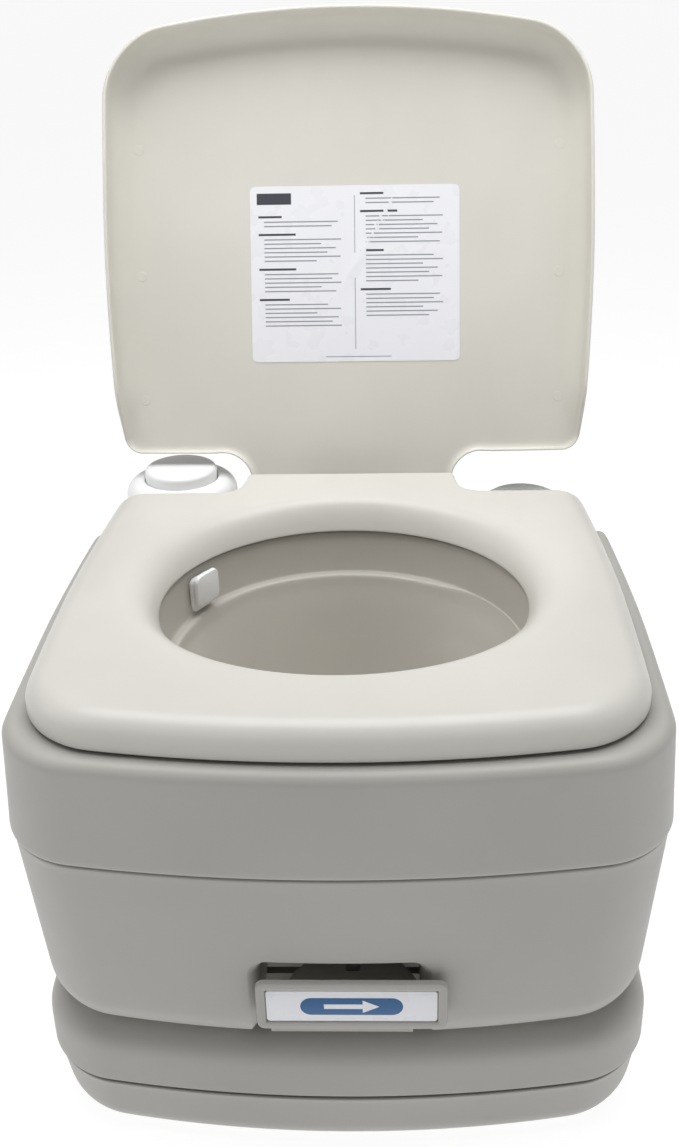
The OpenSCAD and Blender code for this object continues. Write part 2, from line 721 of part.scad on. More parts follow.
module seat() {
    p = seat_plan(0);
    low = rim_z + 1.5;
    t = seat_top_z;
    c = opening_y;
    rx = opening_rx;
    ry = opening_ry;
    color(plastic) difference() {
        union() {
            loft([
                level(seat_plan(1.2), low), level(p, low + 2), level(seat_plan(0.4), t - 12),
                level(seat_plan(4), t - 5), level(seat_plan(9), t - 1.4), level(seat_plan(16), t),
                oval_like(p, rx + 28, ry + 14, c, t), oval_like(p, rx + 18, ry + 10.5, c, t - 1.6),
                oval_like(p, rx + 8, ry + 5.5, c, t - 8), oval_like(p, rx + 1.4, ry + 1.4, c, t - 17),
                oval_like(p, rx, ry, c, low + 1), oval_like(p, rx + 3, ry + 3, c, low + 1),
                oval_like(p, rx + 5, ry + 5, c, t - 17.5), oval_like(p, rx + 12, ry + 9, c, t - 10.5),
                oval_like(p, rx + 28, ry + 14, c, t - 3.5), level(seat_plan(16), t - 3.5),
                level(seat_plan(6), t - 6.5), level(seat_plan(3.5), low)
            ], joined = true);
            difference() {
                seat_tab(t - 3.2, t - 0.2, 0);
                opening_prism(16, t - 10, t + 5);
            }
            both_sides() {
                translate([seat_knuckle[0], hinge_y, hinge_z]) along_x()
                    cylinder(r = knuckle_r, h = seat_knuckle[1] - seat_knuckle[0], $fn = 64);
                block(seat_knuckle, [hinge_y - knuckle_r, hinge_y + 3], [hinge_z, t - 3]);
            }
        }
        hinge_bore(pin_r + run);
    }
}
module seat_bumpers() {
    color(rubber) for (x = [-142, 142], y = [-110, 80]) translate([x, y, rim_z + 0.4]) {
        cylinder(r = 6, h = 5, $fn = 48);
        translate([0, 0, 4]) cylinder(r = 3, h = seat_top_z - 3.7 - rim_z - 4.4, $fn = 48);
    }
}

// ---- Lid, built shut and leaned back to its rest about the hinge ----

module opened() {
    translate([0, hinge_y, hinge_z]) rotate([-90 - lid_lean, 0, 0]) translate([0, -hinge_y, -hinge_z]) children();
}
function lid_ring(z, in) = level(plan(seat_half_w + 4.8, seat_front + 5, lid_rear, corner_front, 9, in), z);

module lid_neck(z0, z1, in) {
    w = 73.5 - in;
    translate([0, 0, z0]) linear_extrude(z1 - z0)
        polygon(concat(
            [[-110, lid_rear - 12], [110, lid_rear - 12], [w + 22, lid_rear - in]],
            arc([w + 22 + in, lid_rear + 22], 22 + in, 270, 180, 8),
            arc([w - 4, hinge_y + 7], 4, 0, 90, 4), arc([4 - w, hinge_y + 7], 4, 90, 180, 4),
            arc([-w - 22 - in, lid_rear + 22], 22 + in, 360, 270, 8)));
}

module lid_shut() {
    low = rim_z + 1.5;
    t = lid_inner_z;
    lip = seat_top_z + 1.3;
    difference() {
        union() {
            difference() {
                loft([lid_ring(low, 0), lid_ring(t - 13, 0.8), lid_ring(t - 5, 3.2), lid_ring(t, 7),
                    lid_ring(t + 3, 14), lid_ring(t + 4.5, 40)]);
                loft([lid_ring(low - 1, 3), lid_ring(t - 15, 3.8), lid_ring(t - 7, 6.4), lid_ring(t - 2, 11),
                    lid_ring(t, 17), lid_ring(t + 0.8, 40)]);
                // The rear wall is only a shallow lip over the seat
                block([-seat_half_w + 1, seat_half_w - 1], [lid_rear - 20, lid_rear + 20], [low - 2, lip]);
            }
            difference() {
                lid_neck(lip, t + 3, 0);
                lid_neck(lip - 1, t, 3);
                block([-120, 120], [lid_rear - 40, lid_rear - 5], [lip - 1, t]);
                block([-60, 60], [hinge_y + 4, hinge_y + 20], [lip - 1, t]);
            }
            both_sides() {
                translate([lid_knuckle[0], hinge_y, hinge_z]) along_x()
                    cylinder(r = knuckle_r, h = lid_knuckle[1] - lid_knuckle[0], $fn = 64);
                block(lid_knuckle, [hinge_y, hinge_y + 11], [hinge_z - 5, hinge_z + 5]);
                block(lid_knuckle, [hinge_y + 5, hinge_y + 11], [hinge_z - 5, t + 1]);
            }
        }
        hinge_bore(pin_r + run);
    }
}
module lid() { color(plastic) opened() lid_shut(); }
module lid_label() {
    color(white) opened() translate([4, 0, lid_inner_z - 0.35]) linear_extrude(0.3)
        polygon(concat(arc([72, -79], 4, -90, 0, 4), arc([72, 39], 4, 0, 90, 4),
            arc([-72, 39], 4, 90, 180, 4), arc([-72, -79], 4, 180, 270, 4)));
}

waste_tank_base();
waste_tank_top();
valve_housing();
valve_seal_lower();
valve_seal_upper();
valve_screws();
valve_blade();
valve_handle();
handle_label();
spout();
spout_gasket();
spout_cap();
vent_socket();
vent_spring();
vent_button();
carry_handle();
carry_handle_screws();
flush_tank_base();
flush_tank_top();
bowl();
drain_seal();
nozzle_base();
nozzle_cap();
flush_hose();
pump_collar();
pump_cylinder();
pump_bellows();
pump_button();
intake_tube();
check_valve();
filler_neck();
filler_gasket();
filler_cap();
hinge_pin_left();
hinge_pin_right();
latch_pin_left();
latch_pin_right();
latch_left();
latch_right();
seat();
seat_bumpers();
lid();
lid_label();
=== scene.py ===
"""Portable cassette toilet: detailed visible mouldings, materials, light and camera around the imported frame.

Lengths are in millimetres in the frame's axes (front -Y, +Z up) and become metres as a mesh is made.
"""

import json
from math import atan2, cos, pi, radians, sin

import bmesh
import bpy
import numpy as np
from mathutils import Matrix, Vector


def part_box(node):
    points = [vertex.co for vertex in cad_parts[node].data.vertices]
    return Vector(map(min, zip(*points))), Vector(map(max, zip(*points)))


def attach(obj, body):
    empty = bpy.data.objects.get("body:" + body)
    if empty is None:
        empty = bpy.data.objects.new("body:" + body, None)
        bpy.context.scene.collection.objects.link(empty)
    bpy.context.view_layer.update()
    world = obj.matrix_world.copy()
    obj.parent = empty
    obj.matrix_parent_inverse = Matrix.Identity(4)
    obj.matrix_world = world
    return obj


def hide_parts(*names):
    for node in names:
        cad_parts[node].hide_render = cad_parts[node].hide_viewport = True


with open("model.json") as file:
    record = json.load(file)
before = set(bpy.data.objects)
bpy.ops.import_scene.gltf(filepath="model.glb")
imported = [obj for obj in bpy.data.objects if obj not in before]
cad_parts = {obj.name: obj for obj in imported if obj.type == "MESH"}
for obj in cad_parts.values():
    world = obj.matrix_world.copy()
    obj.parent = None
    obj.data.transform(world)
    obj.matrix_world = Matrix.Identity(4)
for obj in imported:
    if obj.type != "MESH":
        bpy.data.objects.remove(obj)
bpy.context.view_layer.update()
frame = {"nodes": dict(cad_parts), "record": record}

MM = 0.001
TIP_R = 0.01
SHARP_DEG = 38


def span(node):
    """Lowest and highest corner of a CAD node, in millimetres."""
    return [np.array(corner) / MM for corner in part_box(node)]


# ---- Sizes, read from the frame where it holds them ----

TOP_LO, TOP_HI = span("flush_tank_top")
WASTE_LO, WASTE_HI = span("waste_tank_top")
SEAT_LO, SEAT_HI = span("seat")
HANDLE_LO, HANDLE_HI = span("valve_handle")
LABEL_LO, LABEL_HI = span("handle_label")
BUTTON_LO, BUTTON_HI = span("pump_button")
COLLAR_LO, COLLAR_HI = span("pump_collar")
LID_JOINT = next(j for j in frame["record"]["behaviour"]["joints"] if j["name"] == "lid_hinge")
HINGE_Y, HINGE_Z = (LID_JOINT["pos_m"][k] / MM for k in (1, 2))
LID_OPEN_DEG = -LID_JOINT["range_deg"][0]

BOW_FRONT, BOW_REAR, BOW_SIDE = 20.0, 1.0, 3.3
REAR_TAPER = 0.052
CORNER_FRONT, CORNER_REAR = 40.0, 32.0
SEAM_HALF_W = TOP_HI[0]
RIM_HALF_W = SEAM_HALF_W - 3.5
FOOT_HALF_W = SEAM_HALF_W - 9
FRONT, REAR = -TOP_LO[1], TOP_HI[1]
SEAM_Z = TOP_LO[2]
RIM_Z = 274.5
DECK_Z = 248.0
STEP_Y = 102.0
FOOT_Z = WASTE_HI[2] + 0.3
FOOT_ROUND = 24.0
WALL = 3.0

WASTE_HALF_W = 183.0
WASTE_FRONT, WASTE_REAR = -WASTE_LO[1], WASTE_HI[1]
WASTE_SEAM_Z = WASTE_LO[2]

OPEN_RX, OPEN_RY, OPEN_Y = 113.0, 107.0, -24.0
SEAT_HALF_W = SEAT_HI[0]
SEAT_FRONT, SEAT_REAR = -SEAT_LO[1], 117.0
SEAT_LOW, SEAT_TOP = RIM_Z + 1.5, 297.0
TAB_HALF_W, TAB_END = 76.0, HINGE_Y + 3

LID_HALF_W, LID_FRONT, LID_REAR = SEAT_HALF_W + 4.8, SEAT_FRONT + 5, 110.0
LID_INNER = 303.0
NECK_HALF_W, NECK_END = 73.5, HINGE_Y + 11

DRAIN_R, DRAIN_Y = 45.0, -12.0
HANDLE_H, HANDLE_T, TONGUE_TOP = 32.5, 4.7, 126.0
NOTCH_HALF_W, NOTCH_TOP = 45.0, 148.0
RECESS = ((-72, 72), (-163, 66), (0, 109.5))
SERVICE_X, SERVICE_Y = 127.0, 165.0
SPOUT_X, SPOUT_Z = 112.0, 46.0
VENT_X, VENT_Z = 58.0, 52.0
LATCH_X, LATCH_Y, LATCH_Z = 186.5, 14.0, 134.0
CATCH_HALF_W, ARM_HALF_W = 12.0, 19.7
GRIP_X, GRIP_Z = (-132, -22), (44, 59)
KNUCKLE_R, PIN_R = 7.5, 3.5
EARS = ((29, 37.6), (66, 74.5))
LID_KNUCKLE, SEAT_KNUCKLE = (38, 51.2), (51.6, 65.6)


# ---- Curves and outlines ----

def arc(cx, cy, r, start, end, n):
    return [(cx + r * cos(a), cy + r * sin(a)) for a in np.radians(np.linspace(start, end, n + 1))]


def between(p, q, n):
    return [tuple(np.array(p) + (np.array(q) - p) * i / (n + 1)) for i in range(1, n + 1)]


def mix(a, b, t):
    return a + (b - a) * t


def smooth(x, low, high):
    t = np.clip((np.asarray(x, float) - low) / (high - low), 0, 1)
    return t * t * (3 - 2 * t)


def bow(points, x, f, b):
    """Moves the points of a straight-sided outline out to the bowed one."""
    p = np.array(points, float)
    u = p[:, 0] / x
    v = (p[:, 1] - (f + b) / 2) / ((b - f) / 2)
    across = BOW_SIDE * u * np.clip(1 - v * v, 0, None)
    along = np.where(v < 0, BOW_FRONT, BOW_REAR) * v * np.clip(1 - u * u, 0, None)
    moved = p + np.stack([across, along], 1)
    moved[:, 0] *= 1 - REAR_TAPER * (np.clip(moved[:, 1] + 40, 0, None) / 250) ** 1.4
    return moved


def plan(half_w, front, rear, inset=0.0, front_r=CORNER_FRONT, rear_r=CORNER_REAR):
    """Rounded rectangle with bowed sides, anticlockwise from the front right corner."""
    x, f, b = half_w - BOW_SIDE - inset, -front + BOW_FRONT + inset, rear - BOW_REAR - inset
    fr, rr = max(front_r - inset, 2.5), max(rear_r - inset, 2.5)
    raw = arc(x - fr, f + fr, fr, -90, 0, 12) + between((x, f + fr), (x, b - rr), 22)
    raw += arc(x - rr, b - rr, rr, 0, 90, 10) + between((x - rr, b), (rr - x, b), 22)
    raw += arc(rr - x, b - rr, rr, 90, 180, 10) + between((-x, b - rr), (-x, f + fr), 22)
    raw += arc(fr - x, f + fr, fr, 180, 270, 12) + between((fr - x, f), (x - fr, f), 26)
    return bow(raw, x, f, b)


def level(points, z):
    p = np.asarray(points, float)
    return np.column_stack([p[:, 0], p[:, 1], np.broadcast_to(z, len(p))])


def oval_like(points, rx, ry, cy=OPEN_Y):
    """An oval with one point opposite each point of an outline, measured from the opening's centre."""
    p = np.asarray(points, float)
    a = np.arctan2((p[:, 1] - cy) / ry, p[:, 0] / rx)
    return np.column_stack([rx * np.cos(a), cy + ry * np.sin(a)])


def quarter(inset, z, width, height, n=6, rising=True):
    """(inset, z) pairs of a rounded edge: from the wall at z to a flat face width further in."""
    turns = np.radians(np.linspace(0, 90, n + 1))
    sign = 1 if rising else -1
    return [(inset + width * (1 - cos(a)), z + sign * height * sin(a)) for a in turns]


# ---- Mesh making ----

def settle(obj):
    """Applies the object's modifiers."""
    mesh = bpy.data.meshes.new_from_object(obj.evaluated_get(bpy.context.evaluated_depsgraph_get()))
    obj.modifiers.clear()
    old = obj.data
    obj.data = mesh
    bpy.data.meshes.remove(old)


def new_object(name, verts, faces):
    mesh = bpy.data.meshes.new(name)
    mesh.from_pydata([tuple(v) for v in np.asarray(verts, float) * MM], [], faces)
    obj = bpy.data.objects.new(name, mesh)
    bpy.context.scene.collection.objects.link(obj)
    bm = bmesh.new()
    bm.from_mesh(mesh)
    bmesh.ops.recalc_face_normals(bm, faces=bm.faces)
    bm.to_mesh(mesh)
    bm.free()
    return obj


def skin(name, rings, joined=False, levels=1):
    """Closed skin through a stack of rings, capped at both ends or joined from last to first."""
    n, m = len(rings[0]), len(rings)
    faces = []
    for i in range(m if joined else m - 1):
        a, c = i * n, ((i + 1) % m) * n
        faces += [(a + j, c + j, c + (j + 1) % n, a + (j + 1) % n) for j in range(n)]
    if not joined:
        faces += [tuple(range(n)), tuple((m - 1) * n + j for j in reversed(range(n)))]
    obj = new_object(name, np.concatenate(rings), faces)
    if levels:
        mod = obj.modifiers.new("smooth", "SUBSURF")
        mod.levels = mod.render_levels = levels
        settle(obj)
    return obj


def combine(obj, other, operation):
    """Cuts, adds or intersects another solid, which is used up."""
    mod = obj.modifiers.new("combine", "BOOLEAN")
    mod.operation, mod.solver, mod.object = operation, "EXACT", other
    settle(obj)
    bpy.data.objects.remove(other)
    return obj


def cut(obj, other):
    return combine(obj, other, "DIFFERENCE")


def join(obj, others):
    """Puts other solids' meshes into one object."""
    bm = bmesh.new()
    for o in [obj] + others:
        bm.from_mesh(o.data)
    bm.to_mesh(obj.data)
    bm.free()
    for o in others:
        bpy.data.objects.remove(o)
    return obj


def circle(r, z, steps):
    """Level circle, or a closed outline where r holds one radius for each step."""
    turns = np.linspace(0, 2 * pi, steps, endpoint=False)
    return np.column_stack([r * np.cos(turns), r * np.sin(turns), np.full(steps, z)])


def lay_along_y(rings):
    return [np.column_stack([r[:, 0], r[:, 2], -r[:, 1]]) for r in rings]


def lathe(name, profile, centre=(0, 0, 0), axis="Z", steps=96):
    """Turned solid from an (r, z) profile."""
    rings = [circle(max(r, TIP_R), z, steps) for r, z in profile]
    if axis == "Y":
        rings = lay_along_y(rings)
    return skin(name, [r + np.array(centre) for r in rings], levels=0)


def cylinder(centre, r, length, axis="Z"):
    return lathe("cutter", [(r, 0), (r, length)], centre, axis)


def box_solid(name, x, y, z, r=0.0, segments=3):
    """Box between two limits on each axis, with rounded edges."""
    corners = [(x[i], y[j], z[k]) for i in (0, 1) for j in (0, 1) for k in (0, 1)]
    faces = [(0, 1, 3, 2), (4, 6, 7, 5), (0, 4, 5, 1), (2, 3, 7, 6), (0, 2, 6, 4), (1, 5, 7, 3)]
    obj = new_object(name, corners, faces)
    if r:
        mod = obj.modifiers.new("round", "BEVEL")
        mod.width, mod.segments, mod.limit_method = r * MM, segments, "NONE"
        settle(obj)
    return obj


def plate(name, w, h, t, r, place, edge=0.8, dish=None):
    """Rounded plate standing up, its face towards -Y at place; dish = (border, depth) sinks its middle."""
    def outline(inset):
        a, b, c = w / 2 - inset, h / 2 - inset, max(r - inset, 0.6)
        p = arc(a - c, c - b, c, -90, 0, 8) + arc(a - c, b - c, c, 0, 90, 8)
        return p + arc(c - a, b - c, c, 90, 180, 8) + arc(c - a, c - b, c, 180, 270, 8)

    def ring(inset, y):
        return np.array([(u, y, v) for u, v in outline(inset)]) + np.array(place)

    rings = [ring(edge, t), ring(0, t - edge)]
    rings += [ring(0, edge), ring(edge * 0.3, edge * 0.3), ring(edge, 0)]
    if dish:
        border, depth = dish
        rings += [ring(border - 1.0, 0), ring(border - 0.4, 0.3), ring(border, 1.0), ring(border, depth)]
    return skin(name, rings, levels=0)


# ---- Materials ----

def node_group(name, base, rough):
    material = bpy.data.materials.new(name)
    material.use_nodes = True
    tree = material.node_tree
    shader = tree.nodes["Principled BSDF"]
    shader.inputs["Roughness"].default_value = rough
    shader.inputs["Base Color"].default_value = (*base, 1)
    return material, tree, shader


def noise(tree, coords, scale, detail=3.0, rough=0.5):
    n = tree.nodes.new("ShaderNodeTexNoise")
    n.inputs["Scale"].default_value = scale
    n.inputs["Detail"].default_value = detail
    n.inputs["Roughness"].default_value = rough
    tree.links.new(coords, n.inputs["Vector"])
    return n.outputs["Fac"]


def remap(tree, value, low, high, to_low, to_high):
    m = tree.nodes.new("ShaderNodeMapRange")
    for socket, number in zip(("From Min", "From Max", "To Min", "To Max"), (low, high, to_low, to_high)):
        m.inputs[socket].default_value = number
    tree.links.new(value, m.inputs["Value"])
    return m.outputs["Result"]


def blend_colour(tree, factor, first, second):
    m = tree.nodes.new("ShaderNodeMix")
    m.data_type = "RGBA"
    tree.links.new(factor, m.inputs["Factor"])
    for socket, colour in ((m.inputs[6], first), (m.inputs[7], second)):
        if hasattr(colour, "is_output"):
            tree.links.new(colour, socket)
        else:
            socket.default_value = (*colour, 1)
    return m.outputs[2]


# One number sets both the paleness of worn edges and the painted shade in hollows, which is 1.5 times as
# strong.
def moulded(name, base, rough=0.42, grain=0.12, mottling=0.035, edge_wear_and_hollow_shade=0.10, coat=0.0):
    """Moulded plastic: mottled colour, pale worn edges, painted shade in its hollows, fine grain and uneven
    gloss.
    """
    material, tree, shader = node_group(name, base, rough)
    coords = tree.nodes.new("ShaderNodeTexCoord").outputs["Object"]
    base = np.array(base)
    cloud = remap(tree, noise(tree, coords, 9.0, 4.0), 0.3, 0.7, 0, 1)
    colour = blend_colour(tree, cloud, base * (1 - mottling), np.clip(base * (1 + mottling), 0, 1))
    pointy = tree.nodes.new("ShaderNodeNewGeometry").outputs["Pointiness"]
    edge = remap(tree, pointy, 0.53, 0.60, 0, edge_wear_and_hollow_shade)
    colour = blend_colour(tree, edge, colour, np.clip(base * 1.25, 0, 1))
    # Painted shade: concave spots (low pointiness) are darkened towards 0.6 of the base colour, standing in
    # for the shade that gathers in hollows and creases.
    hollow = remap(tree, pointy, 0.47, 0.40, 0, edge_wear_and_hollow_shade * 1.5)
    colour = blend_colour(tree, hollow, colour, base * 0.6)
    speck = remap(tree, noise(tree, coords, 420.0, 1.0), 0.74, 0.80, 0, 0.12)
    colour = blend_colour(tree, speck, colour, base * 0.72)
    tree.links.new(colour, shader.inputs["Base Color"])
    gloss = remap(tree, noise(tree, coords, 35.0, 5.0, 0.6), 0.3, 0.7, rough - 0.05, rough + 0.06)
    tree.links.new(gloss, shader.inputs["Roughness"])
    fine = tree.nodes.new("ShaderNodeBump")
    fine.inputs["Strength"].default_value = grain
    fine.inputs["Distance"].default_value = 0.0002
    tree.links.new(noise(tree, coords, 1300.0, 2.0), fine.inputs["Height"])
    wave = tree.nodes.new("ShaderNodeBump")
    wave.inputs["Strength"].default_value = 0.12
    wave.inputs["Distance"].default_value = 0.0012
    tree.links.new(noise(tree, coords, 16.0, 1.0), wave.inputs["Height"])
    tree.links.new(fine.outputs["Normal"], wave.inputs["Normal"])
    tree.links.new(wave.outputs["Normal"], shader.inputs["Normal"])
    shader.inputs["Coat Weight"].default_value = coat
    shader.inputs["Coat Roughness"].default_value = 0.25
    shader.inputs["Specular IOR Level"].default_value = 0.45
    return material


def metal(name):
    material, tree, shader = node_group(name, (0.62, 0.63, 0.65), 0.3)
    coords = tree.nodes.new("ShaderNodeTexCoord").outputs["Object"]
    shader.inputs["Metallic"].default_value = 1.0
    streaks = noise(tree, coords, 600.0, 3.0)
    tree.links.new(remap(tree, streaks, 0.3, 0.7, 0.22, 0.42), shader.inputs["Roughness"])
    colour = blend_colour(tree, noise(tree, coords, 120.0), (0.55, 0.56, 0.58), (0.70, 0.71, 0.73))
    tree.links.new(colour, shader.inputs["Base Color"])
    return material


def film(name, base, rough=0.28):
    """Printed film: faintly uneven tint and a soft ripple in its gloss."""
    material, tree, shader = node_group(name, base, rough)
    coords = tree.nodes.new("ShaderNodeTexCoord").outputs["Object"]
    base = np.array(base)
    colour = blend_colour(tree, noise(tree, coords, 30.0), base * 0.985, np.clip(base * 1.015, 0, 1))
    tree.links.new(colour, shader.inputs["Base Color"])
    tree.links.new(remap(tree, noise(tree, coords, 60.0), 0.3, 0.7, rough - 0.05, rough + 0.08),
                   shader.inputs["Roughness"])
    bump = tree.nodes.new("ShaderNodeBump")
    bump.inputs["Strength"].default_value = 0.1
    bump.inputs["Distance"].default_value = 0.0004
    tree.links.new(noise(tree, coords, 55.0, 1.0), bump.inputs["Height"])
    tree.links.new(bump.outputs["Normal"], shader.inputs["Normal"])
    return material


# The tank, bowl, seat and lid are one grey-beige plastic. The tank colour is set darker and the lid colour
# lighter to match the brightness these parts show under this light: painted shade on the tank, painted light
# on the lid.
TANK = moulded("tank_plastic", (0.445, 0.435, 0.408), 0.46)
SHADE = moulded("shade_plastic", (0.44, 0.425, 0.39), 0.46)
BOWL = moulded("bowl_plastic", (0.58, 0.555, 0.505), 0.34, grain=0.04, edge_wear_and_hollow_shade=0.03, coat=0.15)
SEAT = moulded("seat_plastic", (0.66, 0.645, 0.60), 0.38, grain=0.05, edge_wear_and_hollow_shade=0.05, coat=0.10)
LID = moulded("lid_plastic", (0.72, 0.70, 0.64), 0.40, grain=0.08, edge_wear_and_hollow_shade=0.08)
WHITE = moulded("white_plastic", (0.92, 0.92, 0.925), 0.34, grain=0.03, mottling=0.015, edge_wear_and_hollow_shade=0.04, coat=0.2)
RUBBER = moulded("seal_rubber", (0.025, 0.025, 0.027), 0.62, grain=0.25, mottling=0.2)
STEEL = metal("bright_steel")
SHEET = film("label_sheet", (0.90, 0.905, 0.945))
PRINT = film("label_print", (0.30, 0.31, 0.34), 0.4)
PRINT_DARK = film("label_heading", (0.06, 0.065, 0.08), 0.4)
BLUE = film("blue_band", (0.012, 0.115, 0.30), 0.3)
SLOT_MATERIAL = {"tank_plastic": TANK, "shade_plastic": SHADE, "seat_plastic": SEAT, "white_plastic": WHITE,
                 "label_sheet": SHEET, "handle_plate": SHEET, "seal_rubber": RUBBER, "steel": STEEL}
SLOT_OF = {s["node"]: s["material_slot"] for s in frame["record"]["subparts"]}
BODY_OF = {node: body for body, nodes in frame["record"]["behaviour"]["bodies"].items() for node in nodes}


def finish_piece(obj, node, material, extra=False):
    """Gives a piece its material and its body; it stands for the CAD node unless it is extra."""
    obj.data.materials.clear()
    obj.data.materials.append(material)
    obj.data.shade_smooth()
    obj.data.set_sharp_from_angle(angle=radians(SHARP_DEG))
    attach(obj, BODY_OF[node])
    if not extra:
        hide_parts(node)
    return obj


# ---- Waste tank ----

def waste_ring(z, inset):
    below = np.clip((WASTE_SEAM_Z - z) / WASTE_SEAM_Z, 0, 1)
    narrow = 2.0 + 5.0 * below if z <= WASTE_SEAM_Z else 0.0
    return level(plan(WASTE_HALF_W - narrow, WASTE_FRONT - 4 * below, WASTE_REAR, inset), z)


def waste_tank_base():
    outer = quarter(0, 16, 16, 16, 8, rising=False)[::-1]
    rings = [waste_ring(z, i) for i, z in outer]
    rings += [waste_ring(z, 0) for z in (21, 30, 38)]
    rings += [waste_ring(WASTE_SEAM_Z - 1.4, -0.5), waste_ring(WASTE_SEAM_Z - 0.5, -0.4),
              waste_ring(WASTE_SEAM_Z - 0.05, 0.5), waste_ring(WASTE_SEAM_Z - 0.05, WALL)]
    rings += [waste_ring(30, WALL), waste_ring(21, WALL)]
    rings += [waste_ring(z + WALL, i + WALL) for i, z in outer[::-1]]
    return skin("waste_tank_base_shell", rings)


def waste_tank_top():
    outer = quarter(0, 64, 18, WASTE_HI[2] - 64, 8)
    rings = [waste_ring(z, i) for i, z in outer[::-1]]
    rings += [waste_ring(z, 0) for z in (58, 50)]
    rings += [waste_ring(WASTE_SEAM_Z + 2.4, 0), waste_ring(WASTE_SEAM_Z + 1.6, 0.1),
              waste_ring(WASTE_SEAM_Z + 1.2, 0.8), waste_ring(WASTE_SEAM_Z + 1.2, WALL)]
    rings += [waste_ring(z - WALL, i + WALL) for i, z in outer]
    obj = skin("waste_tank_top_shell", rings)
    for cutter in (cylinder((0, DRAIN_Y, WASTE_HI[2] - 6), DRAIN_R + 2, 12),
                   cylinder((SPOUT_X, WASTE_REAR - 12, SPOUT_Z), 20, 20, "Y"),
                   cylinder((VENT_X, WASTE_REAR - 12, VENT_Z), 7, 20, "Y")):
        cut(obj, cutter)
    catches = [box_solid("catch", mirrored((WASTE_HALF_W - 2.5, WASTE_HALF_W + 3.4), side),
                         (LATCH_Y - CATCH_HALF_W, LATCH_Y + CATCH_HALF_W), (56, 62), 1.2) for side in (-1, 1)]
    return join(obj, catches)


# ---- Flush tank ----

def low_ring(z, inset):
    t = np.clip((z - FOOT_Z - 9) / (SEAM_Z - FOOT_Z - 9), 0, 1)
    half_w = mix(FOOT_HALF_W, SEAM_HALF_W - 1.2, t)
    return level(plan(half_w, mix(FRONT - 8, FRONT - 1, t), mix(REAR - 14, REAR - 2, t), inset), z)


def low_stack(inset, top):
    """Rings of the flush tank's lower moulding from its foot to the seam."""
    foot = quarter(0, FOOT_Z + FOOT_ROUND, 21, FOOT_ROUND, 9, rising=False)[::-1]
    rings = [low_ring(z + inset * 0.8, i + inset) for i, z in foot]
    return rings + [low_ring(z, inset) for z in np.linspace(FOOT_Z + FOOT_ROUND + 7, top - 5, 11)]


def front_face(x, z):
    """Y of the lower moulding's front face."""
    t = np.clip((z - FOOT_Z - 9) / (SEAM_Z - FOOT_Z - 9), 0, 1)
    half_w = mix(FOOT_HALF_W, SEAM_HALF_W - 1.2, t)
    return -mix(FRONT - 8, FRONT - 1, t) + BOW_FRONT * (x / half_w) ** 2


def notch_ring(grow, depth, flat_y=None):
    """Outline of the hand notch: round top corners, and feet that flare out at the tank's lower edge."""
    w, top, flare = NOTCH_HALF_W - 1 + grow, NOTCH_TOP + grow * 0.4, 28.0
    right = [(w + flare + 4, 40.0), (w + flare + 4, FOOT_Z - 8)]
    right += [(w + flare - flare * sin(a), FOOT_Z + flare - flare * cos(a) - 2)
              for a in np.radians(np.linspace(4, 90, 14))]
    right += between((w, FOOT_Z + flare), (w, top - 9 - grow * 0.3), 8)
    right += arc(w - 9 - grow * 0.3, top - 9 - grow * 0.3, 9 + grow * 0.3, 0, 90, 10)
    outline = right + between((w - 10, top), (10 - w, top), 20) + [(-x, z) for x, z in reversed(right)]
    outline += between((-w - flare - 4, 40.0), (w + flare + 4, 40.0), 10)
    p = np.array(outline)
    y = np.full(len(p), flat_y) if flat_y is not None else front_face(p[:, 0], p[:, 1]) + depth
    return np.column_stack([p[:, 0], y, p[:, 1]])


def notch_cutter():
    """The notch with a soft lead-in at the front face, as deep as the recess over the valve."""
    soft = 10.0
    rings = [notch_ring(soft * 1.15, -30)]
    rings += [notch_ring(soft * (1 - sin(a)), soft * (1 - cos(a)) - 0.6)
              for a in np.radians(np.linspace(0, 90, 9))]
    rings += [notch_ring(0, 16), notch_ring(0, 0, RECESS[1][0] + 4.0)]
    return skin("cutter", rings, levels=0)


def flush_tank_base():
    rings = low_stack(0, SEAM_Z)
    rings += [low_ring(SEAM_Z - 2.6, -0.35), low_ring(SEAM_Z - 1.2, -0.35), low_ring(SEAM_Z - 0.5, 0.4),
              low_ring(SEAM_Z - 0.4, 2.5), low_ring(SEAM_Z - 0.4, 12)]
    obj = skin("flush_tank_base_shell", rings)
    hollow = skin("cutter", low_stack(WALL, SEAM_Z) + [low_ring(SEAM_Z + 4, WALL)])
    guard = box_solid("guard", (-85, 85), (-230, RECESS[1][1] + WALL), (0, NOTCH_TOP + 14))
    cut(obj, cut(hollow, guard))
    cut(obj, notch_cutter())
    cut(obj, box_solid("cutter", *RECESS))
    cut(obj, cylinder((0, DRAIN_Y, 100), DRAIN_R + 8, 80))
    bosses = []
    for side in (-1, 1):
        for y in (-13, 35):
            boss = lathe("boss", [(3.6, 0), (4.5, 0.8), (4.5, 5.2), (3.6, 6)],
                         (side * LATCH_X, y, LATCH_Z), "Y", 48)
            foot = box_solid("foot", mirrored((179, LATCH_X), side), (y, y + 6),
                             (LATCH_Z - 4.5, LATCH_Z + 4.5), 0.9)
            bosses += [boss, foot]
    return join(obj, bosses)


def deck_height(y):
    """Top face of the flush tank: the rim's level, and a step down to the rear deck."""
    return mix(RIM_Z, DECK_Z, smooth(y, STEP_Y - 1, STEP_Y + 6))


